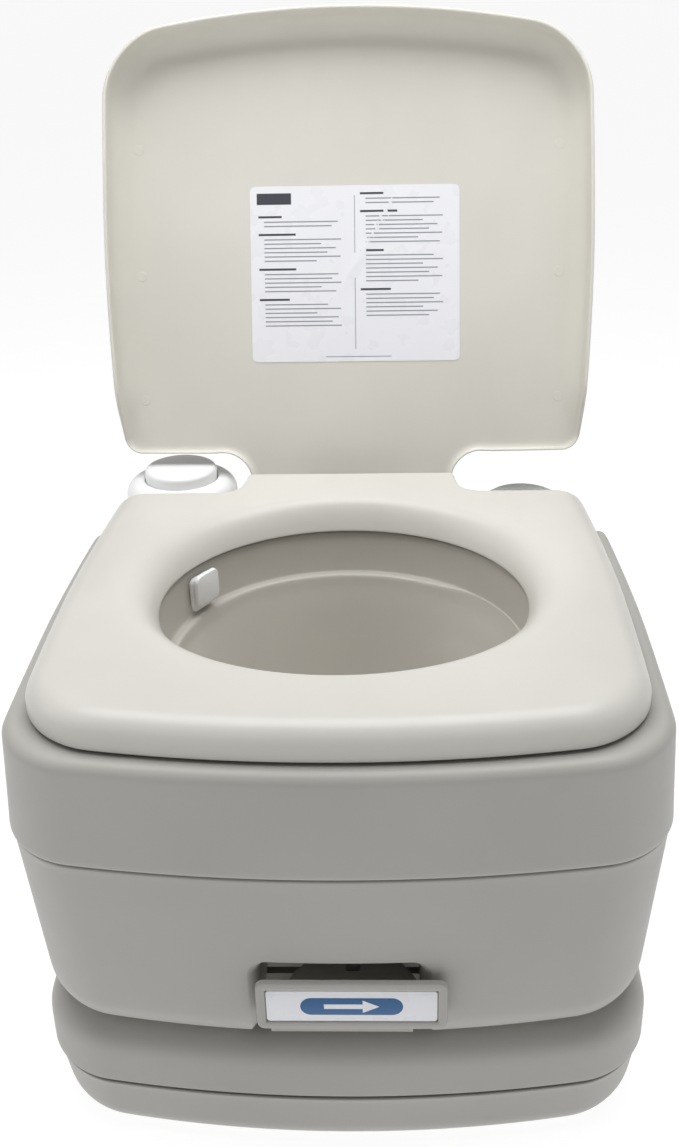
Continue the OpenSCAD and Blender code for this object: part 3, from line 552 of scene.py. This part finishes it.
def high_ring(height, inset, wall=0.0):
    """Ring of the upper moulding; height 0 is the seam and 1 the start of the rounded rim."""
    half_w = mix(SEAM_HALF_W, RIM_HALF_W, np.clip(height, 0, 1) ** 0.9)
    p = plan(half_w, FRONT, REAR, inset)
    top = deck_height(p[:, 1]) - 7 - wall * 0.3
    return level(p, SEAM_Z + 3 + (top - SEAM_Z - 3) * height)


def rim_rings(wall=0.0):
    rings = []
    for i, rise in quarter(0, 0, 7, 7, 7):
        ring = high_ring(1, i + wall)
        ring[:, 2] = deck_height(ring[:, 1]) - 7 + rise - wall
        rings.append(ring)
    return rings


def flush_tank_top():
    outer = [level(plan(SEAM_HALF_W, FRONT - 0.3, REAR - 1, i), z)
             for i, z in ((WALL, SEAM_Z), (1.6, SEAM_Z), (0.5, SEAM_Z + 0.3), (0, SEAM_Z + 1.2))]
    outer += [high_ring(h, 0) for h in np.linspace(0, 1, 14)[:-1]] + rim_rings()
    edge = rim_rings()[-1]
    hole = oval_like(edge[:, :2], OPEN_RX + 11.7, OPEN_RY + 11.7)
    deck = []
    for t in np.linspace(0, 1, 40)[1:]:
        p = mix(edge[:, :2], hole, t)
        deck.append(level(p, deck_height(p[:, 1])))
    under = []
    for t in np.linspace(1, 0.06, 24):
        p = mix(edge[:, :2], hole, t)
        under.append(level(p, deck_height(p[:, 1]) - WALL))
    inner = [high_ring(h, WALL, WALL) for h in np.linspace(0.97, 0, 6)]
    obj = skin("flush_tank_top_shell", outer + deck + under + inner, joined=True)
    cut(obj, cylinder((-SERVICE_X, SERVICE_Y, 230), 31, 40))
    cut(obj, cylinder((SERVICE_X, SERVICE_Y, 230), 22.2, 40))
    pedestal = box_solid("pedestal", (-76, 76), (STEP_Y - 1, HINGE_Y + 15), (DECK_Z - 1, HINGE_Z - 25), 2.0)
    return join(obj, [pedestal] + hinge_ears())


def knuckle(x, name="knuckle", r=KNUCKLE_R):
    """Barrel round the hinge axis between two distances along X, with its bore."""
    lo, hi = sorted(x)
    bore = PIN_R + 0.05
    profile = [(bore, 0.5), (bore + 0.5, 0), (r - 0.7, 0), (r, 0.7), (r, hi - lo - 0.7), (r - 0.7, hi - lo),
               (bore + 0.5, hi - lo), (bore, hi - lo - 0.5)]
    turns = np.linspace(0, 2 * pi, 64, endpoint=False)
    rings = [np.column_stack([np.full(64, lo + z), HINGE_Y + q * np.cos(turns), HINGE_Z + q * np.sin(turns)])
             for q, z in profile]
    return skin(name, rings, joined=True, levels=0)


def mirrored(x, side):
    return tuple(sorted((side * x[0], side * x[1])))


def hinge_ears():
    pieces = []
    for side in (-1, 1):
        for ear in EARS:
            x = mirrored(ear, side)
            pieces.append(knuckle(x))
            pieces.append(box_solid("ear", x, (HINGE_Y - KNUCKLE_R, HINGE_Y + KNUCKLE_R),
                                    (HINGE_Z - 27, HINGE_Z - PIN_R - 1), 0.8))
    return pieces


# ---- Bowl ----

BOWL_LEVELS = [(RIM_Z, -3.0, 0.0), (266, -2.2, 0.0), (258, -1.5, 0.0), (252, -0.8, 0.0), (247.5, -0.2, 0.0),
               (246.4, 0.0, 0.0), (246.0, 0.8, 0.002), (246.2, 2.6, 0.006), (246.0, 4.4, 0.012),
               (244.6, 5.2, 0.016), (239, 5.6, 0.024), (233, 6.6, 0.045), (225, 7.4, 0.08),
               (215, 8.2, 0.125), (203, 8.8, 0.19), (190, 9.0, 0.27), (177, 9.0, 0.36),
               (165, 8.6, 0.455), (153, 7.4, 0.56), (142, 6.0, 0.665), (133, 4.5, 0.76),
               (125, 3.0, 0.85), (118, 1.4, 0.94), (112, 0.0, 1.0), (105.5, 0.0, 1.0)]
LEDGE_TOP = 247.5


def bowl_ring(entry, grow, turns):
    """Ring of the bowl; the ledge stands out round the back and fades into the wall at both its ends."""
    z, shrink, share = entry
    r = DRAIN_R + 1
    plain = np.interp(z, [203, 225, LEDGE_TOP, RIM_Z], [8.8, 5.6, 0.0, -3.0])
    degrees = np.degrees(turns) % 360
    ledge = smooth(degrees, 38, 62) * (1 - smooth(degrees, 196, 222))
    inset = np.where(z > 203, mix(plain, shrink, ledge), shrink)
    fall = np.where(z > 203, mix(share * 0.9, share, ledge), share)
    dip = -7.0 * smooth(degrees, 120, 215) * (z < 250) * (z > 225)
    rx, ry = mix(OPEN_RX - inset, r, fall) + grow, mix(OPEN_RY - inset, r, fall) + grow
    cy = mix(OPEN_Y, DRAIN_Y, share)
    return np.column_stack([rx * np.cos(turns), cy + ry * np.sin(turns), z + dip * np.ones_like(turns)])


def bowl():
    turns = np.linspace(0, 2 * pi, 160, endpoint=False)
    lip = [level(oval_like(np.column_stack([np.cos(turns) * OPEN_RX, OPEN_Y + np.sin(turns) * OPEN_RY]),
                           OPEN_RX + g, OPEN_RY + g), z)
           for g, z in ((6, RIM_Z - 3), (11.4, RIM_Z - 3), (11.4, RIM_Z), (7, RIM_Z))]
    inner = [bowl_ring(e, 0, turns) for e in BOWL_LEVELS]
    outer = [bowl_ring(e, 3, turns) for e in BOWL_LEVELS[:0:-2]]
    return skin("bowl_liner", lip + inner + outer, joined=True)


# ---- Seat ----

def tabbed(outline, rear, half_w, end, fillet, corner):
    """Adds the tab at the back to an outline whose rear edge lies along y = rear."""
    def replaced(p):
        return abs(p[0]) <= half_w + fillet and p[1] > rear - 30

    split = next(i for i, p in enumerate(outline) if replaced(p))
    head = outline[:split]
    tail = [p for p in outline[split:] if not replaced(p)]
    side = arc(half_w + fillet, rear + fillet, fillet, 270, 180, 12)
    if end - corner > rear + fillet:
        side += between((half_w, rear + fillet), (half_w, end - corner), 2)
    side += arc(half_w - corner, end - corner, corner, 0, 90, 8)
    other = [(-x, y) for x, y in reversed(side)]
    return np.array(head + side + between((half_w - corner, end), (corner - half_w, end), 24) + other + tail)


def unit(vectors):
    return vectors / np.linalg.norm(vectors, axis=1)[:, None]


def offset_in(points, amount):
    """Moves each point of a closed anticlockwise outline inward by its own amount."""
    p = np.asarray(points, float)
    ahead, behind = np.roll(p, -1, axis=0) - p, p - np.roll(p, 1, axis=0)
    direction = unit(unit(ahead) + unit(behind))
    inward = np.column_stack([-direction[:, 1], direction[:, 0]])
    return p + inward * np.broadcast_to(amount, len(p))[:, None]


def seat():
    outline = [tuple(p) for p in plan(SEAT_HALF_W, SEAT_FRONT, SEAT_REAR, 0, CORNER_FRONT, 18)]
    outline = tabbed(outline, SEAT_REAR - 0.9, TAB_HALF_W, TAB_END, 18, 5)
    tab = smooth(outline[:, 1], SEAT_REAR - 2, SEAT_REAR + 12) * (np.abs(outline[:, 0]) < TAB_HALF_W + 19)
    reach = 1 - 0.78 * tab

    def ring(inset, z):
        return level(offset_in(outline, inset * reach), mix(z, max(z, SEAT_TOP - 6), tab))

    def funnel(grow_x, grow_y, z):
        return level(oval_like(outline, OPEN_RX + grow_x, OPEN_RY + grow_y), z)

    top = SEAT_TOP
    rings = [ring(3.4, SEAT_LOW), ring(1.6, SEAT_LOW - 0.1), ring(0.4, SEAT_LOW + 0.8)]
    rings += [ring(0, SEAT_LOW + 2.4), ring(0, SEAT_LOW + 5)]
    rings += [ring(i, z) for i, z in quarter(0, top - 13.5, 14.5, 13.2, 9)]
    crest = offset_in(outline, 15.5 * reach)
    well = [(28, 14, -0.3), (23, 12.3, -0.8), (18, 10.4, -1.9), (13, 8.3, -3.9), (8.6, 6.1, -6.9),
            (5.2, 4.2, -10.3), (2.8, 2.5, -13.8), (1.2, 1.2, -17.0), (0.3, 0.3, -19.3), (0, 0, -20.3),
            (1.0, 1.0, -20.7), (3, 3, -20.3)]
    inner_oval = oval_like(outline, OPEN_RX + 28, OPEN_RY + 14)
    for t in (0.12, 0.3, 0.5, 0.7, 0.88):
        rings.append(level(mix(crest, inner_oval, t), top - 0.25 + 0.35 * sin(pi * t)))
    rings += [funnel(x, y, top + z) for x, y, z in well]
    rings += [funnel(5, 5, top - 17), funnel(12, 9, top - 10), funnel(28, 14, top - 4), ring(17, top - 3.8),
              ring(7, top - 8), ring(3.6, top - 14)]
    obj = skin("seat_moulding", rings, joined=True)
    pieces = []
    for side in (-1, 1):
        x = mirrored(SEAT_KNUCKLE, side)
        pieces.append(knuckle(x))
        for y, z in ((HINGE_Y - PIN_R - 0.6, HINGE_Z - 2), (HINGE_Y + 2, HINGE_Z + PIN_R + 0.6)):
            pieces.append(box_solid("web", x, (HINGE_Y - KNUCKLE_R, y), (z, top - 3), 0.6))
    return join(obj, pieces)


# ---- Lid ----

HINGE = Vector((0, HINGE_Y, HINGE_Z)) * MM
OPENED = (Matrix.Translation(HINGE) @ Matrix.Rotation(-radians(LID_OPEN_DEG), 4, "X")
          @ Matrix.Translation(-HINGE))


def opened(obj):
    obj.data.transform(OPENED)
    return obj


def lid():
    outline = [tuple(p) for p in plan(LID_HALF_W, LID_FRONT, LID_REAR, 0, 40, 12)]
    outline = tabbed(outline, LID_REAR - 0.9, NECK_HALF_W, NECK_END, 22, 9)
    rear = smooth(outline[:, 1], LID_REAR - 46, LID_REAR - 6)
    low, lip = SEAT_LOW, SEAT_TOP + 1.3
    tip = mix(low, lip, rear)
    top = LID_INNER + WALL
    reach = 1 - 0.62 * rear

    def ring(inset, z):
        """z is a height on the side walls; over the rear lip it is squeezed towards the panel."""
        squeezed = np.where(z <= LID_INNER, tip + (z - low) * (LID_INNER - tip) / (LID_INNER - low), z)
        return level(offset_in(outline, inset * reach), squeezed)

    centre = np.array([0.0, -45.0])

    def inward(share, base, z):
        p = offset_in(outline, base * reach)
        return level(centre + (p - centre) * share, z)

    outer = [ring(2.2, low), ring(1.0, low), ring(0.2, low + 0.6), ring(0, low + 1.8), ring(0, low + 7)]
    outer += [ring(i, z) for i, z in quarter(0, top - 14, 15, 14, 9)]
    crown = ((0.94, 0.7), (0.8, 1.7), (0.55, 2.6), (0.3, 3.0), (0.1, 3.1))
    outer += [inward(share, 15, top + rise) for share, rise in crown]
    inner = [inward(s, 20, LID_INNER) for s in (0.1, 0.3, 0.55, 0.8, 0.94)]
    inner += [ring(WALL + i, z) for i, z in quarter(0, LID_INNER - 15, 15, 15, 9)[::-1]]
    inner += [ring(WALL, low + 7), ring(WALL, low + 1.2), ring(WALL - 0.3, low + 0.3)]
    obj = skin("lid_moulding", outer[::-1] + inner[::-1])
    pins = []
    for side in (-1, 1):
        for y in (-110, -20, 70):
            pins.append(lathe("pin_mark", [(0, 0), (3.3, 0), (3.6, 0.25), (3.6, 0.5), (0, 0.5)],
                              (side * (LID_HALF_W - 22), y, LID_INNER - 0.25)))
    arms = []
    for side in (-1, 1):
        x = mirrored(LID_KNUCKLE, side)
        arms.append(knuckle(x))
        arms.append(box_solid("arm", x, (HINGE_Y + PIN_R + 1, HINGE_Y + 11), (HINGE_Z - 5, HINGE_Z + 5), 1.0))
        arms.append(box_solid("arm", x, (HINGE_Y + 5, HINGE_Y + 11), (HINGE_Z - 5, LID_INNER + 1), 1.0))
    return opened(join(obj, pins + arms))


LABEL_X, LABEL_HALF_W = 4.0, 76.0
LABEL_Y = (-83.0, 43.0)


def crease(x, y):
    """Lift of the label along its diagonal crease, and of a flat bubble beside it."""
    line = (x - 8) * 0.86 + (y + 40) * 0.5
    along = -(x - 8) * 0.5 + (y + 40) * 0.86
    return 0.55 * np.exp(-(line / 2.2) ** 2) * smooth(along, -52, -20) * (1 - smooth(along, 18, 50))


def lid_label():
    """Thin sheet on the lid's inner face, with a crease where it was not pressed flat."""
    nx, ny, r = 76, 62, 4.0
    half_h, mid_y = (LABEL_Y[1] - LABEL_Y[0]) / 2, np.mean(LABEL_Y)
    gx, gy = np.meshgrid(np.linspace(-LABEL_HALF_W, LABEL_HALF_W, nx), np.linspace(*LABEL_Y, ny))
    cx = np.clip(np.abs(gx) - (LABEL_HALF_W - r), 0, None)
    cy = np.clip(np.abs(gy - mid_y) - (half_h - r), 0, None)
    pull = np.where(np.hypot(cx, cy) > r, r / np.maximum(np.hypot(cx, cy), 1e-6), 1)
    corner = (cx > 0) & (cy > 0)
    px = np.where(corner, np.sign(gx) * (LABEL_HALF_W - r + cx * pull), gx).ravel()
    py = np.where(corner, mid_y + np.sign(gy - mid_y) * (half_h - r + cy * pull), gy).ravel()
    face = LID_INNER - 0.30 - crease(px, py)
    back = np.full(nx * ny, LID_INNER - 0.04)
    verts = np.concatenate([np.column_stack([px + LABEL_X, py, z]) for z in (face, back)])
    n = nx * ny
    faces = [(i * nx + j, i * nx + j + 1, (i + 1) * nx + j + 1, (i + 1) * nx + j)
             for i in range(ny - 1) for j in range(nx - 1)]
    faces += [tuple(n + k for k in reversed(f)) for f in faces]
    border = list(range(nx)) + [i * nx + nx - 1 for i in range(1, ny)]
    border += [(ny - 1) * nx + j for j in reversed(range(nx - 1))]
    border += [i * nx for i in reversed(range(1, ny - 1))]
    faces += [(a, a + n, b + n, b) for a, b in zip(border, border[1:] + border[:1])]
    return opened(new_object("lid_label_sheet", verts, faces))


def bar(x0, x1, y, h):
    """Corners of one printed bar, which lies on the label and follows its crease."""
    steps = max(2, int((x1 - x0) / 3))
    xs = np.linspace(x0, x1, steps)
    lower = [(x + LABEL_X, y, LID_INNER - 0.33 - crease(x, y)) for x in xs]
    upper = [(x + LABEL_X, y + h, LID_INNER - 0.33 - crease(x, y + h)) for x in xs]
    return lower, upper


def printed(name, bars):
    verts, faces = [], []
    for entry in bars:
        lower, upper = bar(*entry)
        start, n = len(verts), len(lower)
        verts += lower + upper
        verts += [(x, y, z + 0.02) for x, y, z in lower + upper]
        for i in range(n - 1):
            a, b, c, d = start + i, start + i + 1, start + n + i + 1, start + n + i
            faces += [(a, b, c, d), (d + 2 * n, c + 2 * n, b + 2 * n, a + 2 * n),
                      (a, a + 2 * n, b + 2 * n, b), (d, c, c + 2 * n, d + 2 * n)]
        for i in (0, n - 1):
            faces.append((start + i, start + n + i, start + 3 * n + i, start + 2 * n + i))
    return opened(new_object(name, verts, faces))


def label_bars():
    """Plain grey bars in two columns under a plain rounded block: no lettering."""
    body, heads = [], []
    lengths = (0.96, 0.88, 1.0, 0.74, 0.93, 0.82, 0.99, 0.68)
    for x0, start, groups in ((-70, -62, (2, 6, 5, 6)), (4, -78, (2, 7, 7, 6))):
        y, k = start, 0
        for count in groups:
            heads.append((x0, x0 + 17 + 5 * (k % 3), y, 1.5))
            y += 3.9
            for _ in range(count):
                body.append((x0 + 4, x0 + 4 + 56 * lengths[k % 8], y, 0.85))
                y += 3.05
                k += 1
            y += 2.6
    body.append((-22, 26, 39.2, 0.6))
    body.append((-0.25, 0.25, -76, 110))
    heads.append((-71, -46, -78, 8))
    return body, heads


# ---- Handle, pump, nozzle and small pieces ----

def valve_handle():
    w, h = HANDLE_HI[0] - HANDLE_LO[0], HANDLE_H
    centre = ((HANDLE_LO[0] + HANDLE_HI[0]) / 2, HANDLE_LO[1], HANDLE_HI[2] - h / 2)
    face = plate("valve_handle_frame", w, h, HANDLE_T, 4.5, centre, edge=1.2, dish=(5.2, 2.0))
    x, back, low = centre[0], HANDLE_LO[1] + HANDLE_T - 0.1, 110.0
    sides = [(38, back), (37.2, -194), (36.5, -187), (33, -180), (28.5, -174), (27, -170.5), (25.5, -168)]

    def outline(inset, z):
        right = [(a - inset, y) for a, y in sides]
        left = [(-a, y) for a, y in reversed(right)]
        across = between(right[-1], left[0], 12)
        return level(np.array(right + across + left + between(left[-1], right[0], 12)) + np.array([x, 0]), z)

    tongue = skin("tongue", [outline(0, low), outline(0, TONGUE_TOP - 1.8), outline(0.5, TONGUE_TOP - 0.5),
                             outline(1.8, TONGUE_TOP)], levels=0)
    cut(tongue, box_solid("cutter", (x - 4, x + 4), (-180, -174), (TONGUE_TOP - 10, TONGUE_TOP + 5), 1.0))
    foot = box_solid("foot", (x - 26, x + 26), (-186, -172), (HANDLE_LO[2], low + 2), 1.0)
    return join(face, [tongue, foot])


def handle_label():
    w, h = LABEL_HI[0] - LABEL_LO[0], LABEL_HI[2] - LABEL_LO[2]
    centre = ((LABEL_LO[0] + LABEL_HI[0]) / 2, LABEL_LO[1], (LABEL_LO[2] + LABEL_HI[2]) / 2)
    return plate("handle_label_plate", w, h, 1.2, 2.0, centre, edge=0.4), centre, w, h


def handle_print(centre, w, h):
    """Plain rounded blue band with a plain white arrow that points out of the tank."""
    x, y, z = centre[0], centre[1] - 0.2, centre[2]
    band = plate("handle_band", w * 0.60, h * 0.56, 0.12, h * 0.28, (x, centre[1] - 0.1, z), 0.04)
    shape = [(-15, -1.6), (6, -1.6), (6, -4.4), (15, 0), (6, 4.4), (6, 1.6), (-15, 1.6)]
    verts = [(x + a, y + d, z + b) for d in (0, 0.1) for a, b in shape]
    n = len(shape)
    faces = [tuple(range(n)), tuple(reversed(range(n, 2 * n)))]
    faces += [(i, (i + 1) % n, n + (i + 1) % n, n + i) for i in range(n)]
    return band, new_object("handle_arrow", verts, faces)


def pump_collar():
    r, top, low = (COLLAR_HI[0] - COLLAR_LO[0]) / 2, COLLAR_HI[2], COLLAR_LO[2]
    bore = (BUTTON_HI[0] - BUTTON_LO[0]) / 2 + 0.6
    outside = [(r - 1.2, low), (r, low + 1.0), (r, top - 12)]
    outside += [(r - i, z) for i, z in quarter(0, top - 11, 11, 11, 9)]
    inside = [(bore + 0.8, top), (bore, top - 0.9), (bore, low), (bore + 2.5, low)]
    inside += [(bore + 2.5, top - 3), (r - 11, top - 3), (r - 4.5, top - 9)]
    inside += [(r - 2.5, top - 14), (r - 2.5, low)]
    rings = [circle(q, z, 128) + np.array([-SERVICE_X, SERVICE_Y, 0]) for q, z in outside + inside]
    return skin("pump_collar_dome", rings, joined=True, levels=0)


def pump_button():
    r, top, low = (BUTTON_HI[0] - BUTTON_LO[0]) / 2, BUTTON_HI[2], BUTTON_LO[2]
    profile = [(0, low), (r - 1, low), (r, low + 1)]
    profile += [(r - i, z) for i, z in quarter(0, top - 3.6, 3.2, 3.3, 6)]
    profile += [(r - 8, top - 0.1), (r - 14, top), (0, top)]
    return lathe("pump_button_disc", profile, (-SERVICE_X, SERVICE_Y, 0), steps=128)


NOZZLE_DEG, NOZZLE_Z = 149.5, 258.5


def at_nozzle(obj):
    """Moves a piece drawn with its back on y = 0 to the bowl's wall."""
    a = radians(NOZZLE_DEG)
    turn = atan2(OPEN_RX * sin(a), OPEN_RY * cos(a)) + pi / 2
    place = Vector(((OPEN_RX + 1) * cos(a), OPEN_Y + (OPEN_RY + 1) * sin(a), NOZZLE_Z)) * MM
    obj.data.transform(Matrix.Translation(place) @ Matrix.Rotation(turn, 4, "Z"))
    return obj


def nozzle_base():
    base = plate("nozzle_base_plate", 20, 24, 2.5, 4, (0, 0.6, -0.5), 0.7)
    stem = lathe("stem", [(5.6, 0), (6, 0.5), (6, 14)], (0, -9, 0), "Y", 48)
    return at_nozzle(join(base, [stem]))


def nozzle_cap():
    obj = plate("nozzle_cap_shell", 22, 22, 4, 5, (0, 5.2, 4), 1.5)
    obj.data.transform(Matrix.Translation((0, 14.4 * MM, 0)) @ Matrix.Scale(-1, 4, (0, 1, 0)))
    obj.data.flip_normals()
    return at_nozzle(obj)


def screw_cap(name, centre, r, height, axis, ribs, low=0.0):
    profile = [(r - 4, low), (r, low), (r, low + 0.8), (r, low + 2), (r, height * 0.5), (r, height - 3)]
    profile += [(r - i, z) for i, z in quarter(0, height - 2.4, 2.4, 2.4, 5)]
    profile += [(r - 7, height), (r - 8, height - 1.0), (0, height - 1.0)]
    inside = [(0, height - 3), (r - 3.9, height - 3), (r - 3.9, low)]
    steps = ribs * 8
    wave = np.cos(ribs * np.linspace(0, 2 * pi, steps, endpoint=False)) * 1.6
    rings = []
    for q, z in profile:
        ribbed = low + 0.7 < z < height - 1.6 and q > r - 1
        out = 1.4 * np.clip(wave, -0.1, 1) if ribbed else np.zeros(steps)
        rings.append(circle(np.maximum(q + out, TIP_R), z, steps))
    rings += [circle(max(q, TIP_R), z, steps) for q, z in inside]
    if axis == "Y":
        rings = lay_along_y(rings)
    return skin(name, [g + np.array(centre) for g in rings], joined=True, levels=0)


def filler_cap():
    lo = span("filler_cap")[0][2]
    cap = screw_cap("filler_cap_shell", (SERVICE_X, SERVICE_Y, lo), 26, 16.8, "Z", 20)
    return join(cap, [box_solid("grip", (SERVICE_X - 20, SERVICE_X + 20), (SERVICE_Y - 3, SERVICE_Y + 3),
                                (lo + 14, lo + 20), 1.6)])


def spout_cap():
    lo = span("spout_cap")[0][1]
    return screw_cap("spout_cap_shell", (SPOUT_X, lo, SPOUT_Z), 24, 19, "Y", 18)


def latch(side):
    y = (LATCH_Y - ARM_HALF_W, LATCH_Y + ARM_HALF_W)
    barrel = lathe("latch_%s_arm" % ("left" if side < 0 else "right"),
                   [(3.6, 0), (4.2, 0.6), (4.2, y[1] - y[0] - 0.6), (3.6, y[1] - y[0])],
                   (side * LATCH_X, y[0], LATCH_Z), "Y", 48)
    arm = box_solid("arm", mirrored((187.1, 190.5), side), y, (50, LATCH_Z), 1.2)
    rib = box_solid("rib", mirrored((190.0, 191.6), side), (y[0] + 6, y[1] - 6), (60, 124), 0.7)
    hook = box_solid("hook", mirrored((187.1, 195.5), side), (0, 28), (46, 51), 1.6)
    return join(barrel, [arm, rib, hook])


def carry_handle():
    y = (WASTE_REAR + 16, WASTE_REAR + 24)
    grip = box_solid("carry_handle_grip", GRIP_X, y, GRIP_Z, 3.2, 5)
    posts = [box_solid("post", (x, x + 14), (WASTE_REAR + 0.2, WASTE_REAR + 20), GRIP_Z, 2.4, 4)
             for x in (GRIP_X[0], GRIP_X[1] - 14)]
    return join(grip, posts)


# ---- Build everything ----

def build():
    finish_piece(waste_tank_base(), "waste_tank_base", TANK)
    finish_piece(waste_tank_top(), "waste_tank_top", TANK)
    finish_piece(flush_tank_base(), "flush_tank_base", TANK)
    finish_piece(flush_tank_top(), "flush_tank_top", TANK)
    finish_piece(bowl(), "bowl", BOWL)
    finish_piece(seat(), "seat", SEAT)
    finish_piece(lid(), "lid", LID)
    finish_piece(lid_label(), "lid_label", SHEET)
    body, heads = label_bars()
    finish_piece(printed("lid_label_lines", body), "lid_label", PRINT, extra=True)
    finish_piece(printed("lid_label_headings", heads), "lid_label", PRINT_DARK, extra=True)
    finish_piece(valve_handle(), "valve_handle", TANK)
    plate_piece, centre, w, h = handle_label()
    finish_piece(plate_piece, "handle_label", SHEET)
    band, arrow = handle_print(centre, w, h)
    finish_piece(band, "handle_label", BLUE, extra=True)
    finish_piece(arrow, "handle_label", SHEET, extra=True)
    finish_piece(pump_collar(), "pump_collar", WHITE)
    finish_piece(pump_button(), "pump_button", WHITE)
    finish_piece(nozzle_base(), "nozzle_base", WHITE)
    finish_piece(nozzle_cap(), "nozzle_cap", WHITE)
    finish_piece(filler_cap(), "filler_cap", WHITE)
    finish_piece(spout_cap(), "spout_cap", WHITE)
    finish_piece(carry_handle(), "carry_handle", TANK)
    for side, name in ((-1, "latch_left"), (1, "latch_right")):
        finish_piece(latch(side), name, SHADE)
    for name, obj in frame["nodes"].items():
        obj.data.materials.clear()
        obj.data.materials.append(SLOT_MATERIAL[SLOT_OF[name]])


# ---- Stage, light and camera ----

FLOOR_GLOW, WORLD_STRENGTH = 0.88, 0.22


def stage_floor():
    size = 30000.0
    corners = [(-size, -size, 0), (size, -size, 0), (size, size, 0), (-size, size, 0)]
    obj = new_object("floor", corners, [(0, 1, 2, 3)])
    material, _, shader = node_group("floor_paper", (0.25, 0.25, 0.25), 0.9)
    shader.inputs["Specular IOR Level"].default_value = 0.1
    shader.inputs["Emission Color"].default_value = (1, 1, 1, 1)
    shader.inputs["Emission Strength"].default_value = FLOOR_GLOW
    obj.data.materials.append(material)


def area_light(name, place, target, size, power):
    data = bpy.data.lights.new(name, "AREA")
    data.shape, data.size, data.size_y, data.energy = "RECTANGLE", size[0], size[1], power
    obj = bpy.data.objects.new(name, data)
    obj.location = place
    obj.rotation_euler = (Vector(target) - Vector(place)).to_track_quat("-Z", "Y").to_euler()
    bpy.context.scene.collection.objects.link(obj)


def lights():
    """White paper studio: a white surround, one large soft light overhead and two weak ones at the sides."""
    world = bpy.data.worlds.new("studio")
    world.use_nodes = True
    tree = world.node_tree
    background = tree.nodes["Background"]
    background.inputs["Color"].default_value = (1.0, 1.0, 1.0, 1)
    seen = tree.nodes.new("ShaderNodeLightPath").outputs["Is Camera Ray"]
    tree.links.new(remap(tree, seen, 0, 1, WORLD_STRENGTH, 1.0), background.inputs["Strength"])
    bpy.context.scene.world = world
    bpy.context.scene.view_settings.view_transform = "Standard"
    area_light("overhead", (0.0, 0.02, 1.5), (0, 0.0, 0.2), (1.3, 0.9), 17)
    area_light("side_left", (-1.5, -0.1, 0.9), (0, 0, 0.2), (0.8, 1.0), 2.5)
    area_light("side_right", (1.5, -0.1, 0.9), (0, 0, 0.2), (0.8, 1.0), 1.0)


def camera():
    """Camera at the place, heading and lens that put the known sizes where the view shows them."""
    yaw, pitch, roll = 0.0330, 0.4591, -0.0215
    image_w, image_h = 679, 1147
    focal, principal_x = 1300.0, 356.65
    forward = Vector((-sin(yaw) * cos(pitch), cos(yaw) * cos(pitch), -sin(pitch)))
    level_right = Vector((cos(yaw), sin(yaw), 0))
    level_up = level_right.cross(forward)
    right = level_right * cos(roll) + level_up * sin(roll)
    up = level_up * cos(roll) - level_right * sin(roll)
    data = bpy.data.cameras.new("camera")
    data.sensor_width = 36.0
    data.lens = focal * data.sensor_width / image_h
    data.shift_x = (image_w / 2 - principal_x) / image_h
    obj = bpy.data.objects.new("camera", data)
    rotation = Matrix((right, up, -forward)).transposed().to_4x4()
    obj.matrix_world = Matrix.Translation((0.03165, -0.73253, 0.64728)) @ rotation
    bpy.context.scene.collection.objects.link(obj)
    bpy.context.scene.camera = obj


camera()
lights()
stage_floor()
build()
